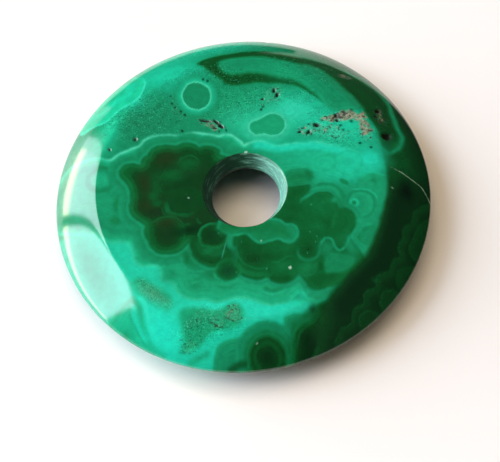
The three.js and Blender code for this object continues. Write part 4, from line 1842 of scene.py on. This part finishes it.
@dataclass(frozen=True)
class PolishedMalachite:
    """The finish of the stone: banded, granular in places, glossy, with dull pores and a dull drilled wall.

    A method that takes a colour gives it back changed. Heights are in metres.
    """

    name: str = "polished_malachite"
    polish: float = 0.1
    dull: float = 0.9
    wall_dullness: float = 0.7
    crumble_dullness: float = 0.7
    grain_roughness: float = 0.12
    refraction: float = 1.7
    level: float = 0.77
    silk: float = 0.5
    coarse_band: float = 0.42
    fine_band: float = 0.19
    fine_band_share: float = 0.6
    band_middle: float = 0.8
    band_contrast: float = 0.75
    line_widths: tuple[tuple[Line, Shade, float], ...] = (
        (Line.MINT, mix(T.MINT, T.DUST, 0.15), 0.2), (Line.CRACK, mix(T.GREY, T.DUST, 0.3), 0.13),
    )
    line_gaps: Spot = (0.3, 0.6)
    line_edge: Spot = (0.8, 0.2)
    speckle: Grit = Grit(0.16, 2.0, 0.6)
    mottle: Grit = Grit(0.7, 3.0, 0.6)
    band_gaps: Grit = Grit(1.6, 1.0, 0.5, 0.3, 0.62)
    clouds: Grit = Grit(0.55, 3.0, 0.65)
    cloud_strength: float = 1.1
    grain_speckle: float = 2.0
    polish_speckle: float = 0.12
    flecks: Grit = Grit(0.32, 1.0, 0.5, 0.34, 0.26)
    fleck_strength: float = 0.7
    fleck_shade: Shade = mix(T.DEEP, T.INK, 0.6)
    sparkle: Grit = Grit(0.23, 1.0, 0.5, 0.6, 0.72)
    sparkle_strength: float = 0.5
    crumbs: Grit = Grit(0.42, 3.0, 0.7, 0.44, 0.58)
    crumb_gain: float = 0.4
    crumb_drop: float = 0.26
    crumb_edge: Spot = (0.05, 0.5)
    crumb_strength: float = 0.85
    warmth: Grit = Grit(0.24, 2.0, 0.5, 0.36, 0.6)
    dots: Grit = Grit(0.27, 1.0, 0.5, 0.4, 0.33)
    dot_edge: Spot = (0.02, 0.35)
    pit_edge: Spot = (0.35, 0.75)
    pit_strength: float = 0.88
    pit_shade: Shade = mix(T.BROWN, T.PITCH, 0.88)
    pore_shade: Shade = mix(T.BROWN, T.PITCH, 0.94)
    scores: Grit = Grit(0.2, 3.0, 0.7, 0.46, 0.64)
    score_squash: Light = (0.12, 0.12, 1.0)
    score_strength: float = 0.5
    powder_and_light_strength: float = 0.7
    powder_and_light_edge: Spot = (0.15, 1.25)
    powder_and_light_shade: Shade = mix(T.AQUA, T.DUST, 0.6)
    shaded_bare_share: float = 0.85
    shaded_bare_shade: Shade = mix(T.TEAL, T.INK, 0.3)
    roughening: Grit = Grit(0.18, 3.0, 0.65)
    relief_height: float = 0.00004
    dull_relief: float = 0.9
    polish_relief: float = 0.02

    def make(self) -> bpy.types.Material:
        """Builds the material.

        Returns:
            The finished material.
        """
        material = bpy.data.materials.new(self.name)
        bench = Bench(material)
        grain, crumble, pit, wall = map(bench.attribute, ("grain", "crumble", "pit", "wall"))
        speckle, mottle = bench.noise(self.speckle), bench.noise(self.mottle)
        silk = (mottle - 0.5) * self.silk + 1.0
        colour = bench.blend(1.0, bench.attribute("growth_colour", "Color"), silk, "MULTIPLY")
        colour = self.banded(bench, colour)
        colour = self.lined(bench, colour, mottle)
        colour = self.speckled(bench, colour, grain, speckle)
        colour = self.crumbled(bench, colour, crumble)
        # Pores and the chip turn near-black brown inside: partly the stone's dark brown, partly painted shade
        # of the hollows.
        colour = bench.blend(pit, colour, flat_colour(self.pore_shade))
        colour = self.drilled(bench, colour, wall)
        colour = bench.blend(1.0, colour, (self.level, self.level, self.level, 1.0), "MULTIPLY")
        dull = pit.most(wall * self.wall_dullness).most(crumble * self.crumble_dullness)
        polish = grain * speckle * self.grain_roughness + self.polish
        roughness = bench.run("ShaderNodeMix", 0, {0: dull, 2: polish, 3: self.dull}, data_type="FLOAT")
        bench.surface(colour, roughness, IOR=self.refraction, Normal=self.relief(bench, dull))
        return material

    def banded(self, bench: Bench, colour: Signal) -> Signal:
        """Lightens and darkens the growth along lines of equal depth, more in some places than in others.

        Args:
            bench: the material's bench.
            colour: the colour so far.

        Returns:
            The banded colour.
        """
        band = bench.attribute("band")
        fine = bench.thread(band, self.fine_band) * self.fine_band_share
        wave = bench.thread(band, self.coarse_band) + fine
        strength = bench.spots(self.band_gaps) * bench.attribute("lines") * self.band_contrast
        return bench.blend(1.0, colour, (wave - self.band_middle) * strength + 1.0, "MULTIPLY")

    def lined(self, bench: Bench, colour: Signal, mottle: Signal) -> Signal:
        """Draws the pale front's bright crest and the open crack as fine lines of uneven strength.

        Args:
            bench: the material's bench.
            colour: the colour so far.
            mottle: the noise that the lines fade with.

        Returns:
            The colour with the lines on it.
        """
        uneven = mottle.between(*self.line_gaps)
        outer, inner = self.line_edge
        for line, shade, width in self.line_widths:
            away = bench.attribute(f"{line.value}_side").with_math("ABSOLUTE")
            cover = away.between(outer * width, inner * width) * bench.attribute(f"{line.value}_mask")
            colour = bench.blend(cover * uneven, colour, flat_colour(shade))
        return colour

    def speckled(self, bench: Bench, colour: Signal, grain: Signal, speckle: Signal) -> Signal:
        """Darkens and lightens granular ground by a fine noise, with dark flecks between the grains.

        Args:
            bench: the material's bench.
            colour: the colour so far.
            grain: how granular the ground is.
            speckle: the fine noise.

        Returns:
            The speckled colour.
        """
        fine = (speckle - 0.5) * (grain * self.grain_speckle + self.polish_speckle)
        clouds = (bench.noise(self.clouds) - 0.5) * grain * self.cloud_strength
        lit = bench.blend(1.0, colour, fine + clouds + 1.0, "MULTIPLY")
        flecks = bench.spots(self.flecks) * grain * self.fleck_strength
        flecked = bench.blend(flecks, lit, flat_colour(self.fleck_shade))
        sparkle = bench.spots(self.sparkle) * grain * self.sparkle_strength
        return bench.blend(sparkle, flecked, flat_colour(T.MINT))

    def crumbled(self, bench: Bench, colour: Signal, crumble: Signal) -> Signal:
        """Turns crumbly ground pale grey-brown in patches, with dark pits and dots; the pits follow the
        hollows pressed into that ground and are darkened as their painted shade.

        Args:
            bench: the material's bench.
            colour: the colour so far.
            crumble: how crumbly the ground is.

        Returns:
            The stained colour.
        """
        crumbs = bench.noise(self.crumbs) + (crumble * self.crumb_gain - self.crumb_drop)
        pale = crumbs.between(self.crumbs.low, self.crumbs.high) * crumble.between(*self.crumb_edge)
        warm = bench.blend(bench.spots(self.warmth), flat_colour(T.BROWN), flat_colour(T.TAN))
        grey = bench.blend(pale * self.crumb_strength, colour, warm)
        dots = bench.spots(self.dots) * crumble.between(*self.dot_edge)
        pits = bench.attribute("crumble_pit").between(*self.pit_edge).most(dots)
        return bench.blend(pits * self.pit_strength, grey, flat_colour(self.pit_shade))

    def drilled(self, bench: Bench, colour: Signal, wall: Signal) -> Signal:
        """Greys and darkens the drilled wall, partly as painted shade, with pale powdery streaks along the
        drill's fine scores that grow heavier on the side that faces the window, as painted light.

        Args:
            bench: the material's bench.
            colour: the colour so far.
            wall: 1 on the drilled wall and 0 elsewhere.

        Returns:
            The colour with the wall's own.
        """
        places = {"Vector": bench.where, "Scale": self.score_squash}
        squashed = bench.run("ShaderNodeMapping", 0, places, vector_type="POINT")
        scores = bench.spots(self.scores, squashed) * self.score_strength
        powder = (bench.attribute("powder") * self.powder_and_light_strength + scores).between(*self.powder_and_light_edge)
        shaded_bare = bench.blend(self.shaded_bare_share, colour, flat_colour(self.shaded_bare_shade))
        dusty_and_lit = bench.blend(powder, shaded_bare, flat_colour(self.powder_and_light_shade))
        return bench.blend(wall, colour, dusty_and_lit)

    def relief(self, bench: Bench, dull: Signal) -> Signal:
        """Roughens the dull ground, and leaves the polish nearly flat.

        Args:
            bench: the material's bench.
            dull: how dull the ground is.

        Returns:
            The bent normal.
        """
        inputs = {
            "Height": bench.noise(self.roughening), "Distance": self.relief_height,
            "Strength": dull * self.dull_relief + self.polish_relief,
        }
        return bench.run("ShaderNodeBump", 0, inputs)


# Studio
def stage_plate(
    name: str, corners: Sequence[Sequence[float]], shade: Light, roughness: float
) -> bpy.types.Object:
    """Adds a flat four-cornered plate of one plain colour to the stage.

    Args:
        name: the name of the plate and of its material.
        corners: its corners in order, in metres.
        shade: its colour.
        roughness: its roughness.

    Returns:
        The plate's object.
    """
    mesh = bpy.data.meshes.new(name)
    mesh.from_pydata(corners, [], [(0, 1, 2, 3)])
    material = bpy.data.materials.new(name)
    Bench(material).surface((*shade, 1), roughness)
    mesh.materials.append(material)
    piece = linked(name, mesh)
    return piece


def hang_light(name: str, size: Spot, place: Vector, axes: Matrix, light: Light) -> bpy.types.Object:
    """Hangs a flat area light. A radiance of L takes a power of pi L times the area.

    Args:
        name: the light's name.
        size: its width and height in metres.
        place: its middle.
        axes: its own axes as columns; it shines against the third one.
        light: its radiance in red, green and blue.

    Returns:
        The light's object, which the camera doesn't see.
    """
    lamp = bpy.data.lights.new(name, "AREA")
    lamp.shape = "RECTANGLE"
    lamp.size, lamp.size_y = size
    lamp.energy = math.pi * size[0] * size[1] * max(light)
    lamp.color = tuple(part / max(light) for part in light)
    piece = linked(name, lamp)
    piece.rotation_mode = "QUATERNION"
    piece.rotation_quaternion = axes.to_quaternion()
    piece.location = place
    piece.visible_camera = False
    return piece


@dataclass(frozen=True)
class Pane:
    """A part of the window's wall, between two bearings in degrees and two heights in metres."""

    name: str
    start: float
    end: float
    low: float
    high: float
    light: Light


@dataclass(frozen=True)
class Window:
    """A tall window of two panes over a bright sill, in one upright wall at the left and behind."""

    wall_bearing: float = 50.0
    distance: float = 0.7
    panes: tuple[Pane, ...] = (
        Pane("window_far_pane", 40, 61, 0.11, 1.085, (4.9, 5.5, 6.5)),
        Pane("window_near_pane", 65, 105, 0.11, 1.085, (4.9, 5.5, 6.5)),
        Pane("window_far_sill", 40, 61, 0.0, 0.11, (10.0, 9.2, 7.2)),
        Pane("window_near_sill", 65, 105, 0.0, 0.11, (10.0, 9.2, 7.2)),
        Pane("window_reveal", 36, 40, 0.0, 1.085, (3.4, 4.2, 4.5)),
    )

    def hang(self) -> None:
        """Hangs the panes side by side: a bearing b meets the wall at distance times tan(b - the wall's)."""
        turn = math.radians(self.wall_bearing)
        away = Vector((-math.sin(turn), math.cos(turn), 0))
        along = Vector((-math.cos(turn), -math.sin(turn), 0))
        upright = Vector((0, 0, 1))
        axes = Matrix((along, upright, away)).transposed()
        for pane in self.panes:
            first, last = (
                self.distance * math.tan(math.radians(bearing) - turn) for bearing in (pane.start, pane.end)
            )
            place = away * self.distance + along * (first + last) / 2 + upright * (pane.low + pane.high) / 2
            hang_light(pane.name, (last - first, pane.high - pane.low), place, axes, pane.light)


@dataclass(frozen=True)
class Lamp:
    """A square soft light that the polish doesn't mirror, aimed at the stone.

    Its bearing goes from +Y toward -X, and is in degrees as its elevation is.
    """

    name: str
    size: float
    distance: float
    bearing: float
    elevation: float
    light: Light

    def hang(self) -> None:
        """Hangs the lamp at its bearing and at its elevation."""
        bearing, rise = math.radians(self.bearing), math.radians(self.elevation)
        flat = math.cos(rise)
        toward = Vector((-math.sin(bearing) * flat, math.cos(bearing) * flat, math.sin(rise)))
        axes = toward.to_track_quat("Z", "Y").to_matrix()
        lamp = hang_light(self.name, (self.size, self.size), toward * self.distance, axes, self.light)
        lamp.visible_glossy = False


@dataclass(frozen=True)
class Card:
    """A black card that stands beside the stone. It shows only in the polish, as the room's dark side."""

    name: str
    start: Spot
    end: Spot
    heights: Spot
    shade: Light = (0.005, 0.007, 0.006)

    def stand(self) -> None:
        """Stands the card on the table from its start to its end, hidden from all but mirrored rays."""
        first, last = self.heights
        corners = [(*self.start, 0), (*self.end, 0), (*self.end, last), (*self.start, first)]
        piece = stage_plate(self.name, corners, self.shade, 1.0)
        for ray in ("camera", "diffuse", "transmission", "shadow"):
            setattr(piece, f"visible_{ray}", False)


@dataclass(frozen=True)
class Studio:
    """A pale table, black cards, a window, a warm glow from above, a skylight, a low lamp and dim walls."""

    table_size: float = 4.0
    table_shade: Light = (0.85, 0.82, 0.795)
    table_roughness: float = 0.35
    cards: tuple[Card, ...] = (
        Card("card_near", (0.0225, -0.06), (0.024, 0.012), (0.04, 0.04)),
        Card("card_right", (0.024, 0.012), (0.03, 0.09), (0.04, 0.04)),
        Card("card_behind", (0.012, 0.033), (-0.021, 0.029), (0.003, 0.016)),
    )
    room: Light = (0.022, 0.02, 0.018)
    window: Window = Window()
    lamps: tuple[Lamp, ...] = (
        Lamp("room_glow", 0.9, 1.2, -20.0, 82.0, (3.2, 2.62, 1.9)),
        Lamp("skylight", 0.5, 1.0, 100.0, 52.0, (3.0, 3.2, 3.75)),
        Lamp("low_glow", 0.5, 0.9, -135.0, 14.0, (2.7, 2.1, 1.55)),
    )

    def furnish(self) -> None:
        """Lays the table, one large square that the stone stands on, and stands the cards on it."""
        half = self.table_size / 2
        corners = [(-half, -half, 0), (half, -half, 0), (half, half, 0), (-half, half, 0)]
        stage_plate("table", corners, self.table_shade, self.table_roughness)
        for card in self.cards:
            card.stand()

    def light(self) -> None:
        """Hangs the window and the lamps, and sets the light of the room's walls."""
        self.window.hang()
        for lamp in self.lamps:
            lamp.hang()
        world = bpy.data.worlds.new("room")
        world.use_nodes = True
        background = world.node_tree.nodes["Background"]
        background.inputs["Color"].default_value = (*self.room, 1)
        background.inputs["Strength"].default_value = 1.0
        bpy.context.scene.world = world
        bpy.context.scene.view_settings.view_transform = "Standard"


@dataclass(frozen=True)
class Camera:
    """The camera, above and in front of the stone, turned a little about its own axis."""

    elevation: float = 62.54
    roll: float = 7.87
    distance: float = 0.2
    lens: float = 134.87
    slide_right: float = -0.000794
    slide_up: float = 0.003331
    middle_height: float = 0.0032

    def place(self) -> None:
        """Places the camera: back along its own axis from the stone's middle, and slid in its own plane."""
        rise, roll = math.radians(self.elevation), math.radians(self.roll)
        back = Vector((0, -math.cos(rise), math.sin(rise)))
        right = Vector((math.cos(roll), -math.sin(roll) * math.sin(rise), -math.sin(roll) * math.cos(rise)))
        up = back.cross(right)
        lens = bpy.data.cameras.new("camera")
        lens.lens = self.lens
        lens.sensor_fit = "HORIZONTAL"
        lens.clip_start = 0.005
        piece = linked("camera", lens)
        piece.location = -right * self.slide_right - up * self.slide_up + back * self.distance
        piece.location.z += self.middle_height
        piece.rotation_mode = "QUATERNION"
        piece.rotation_quaternion = Matrix((right, up, back)).transposed().to_quaternion()
        bpy.context.scene.camera = piece


def main() -> None:
    """Builds the camera, the studio and the stone, and logs how many triangles the stone has."""
    logging.basicConfig(level=logging.INFO, format="%(message)s")
    log = logging.getLogger("donut")
    Camera().place()
    studio = Studio()
    studio.furnish()
    studio.light()
    stone = Donut().build()
    stone.data.materials.append(PolishedMalachite().make())
    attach(stone, "root")
    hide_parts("stone")
    log.info("%s: %d triangles", stone.name, len(stone.data.polygons))


if __name__ == "__main__":
    main()
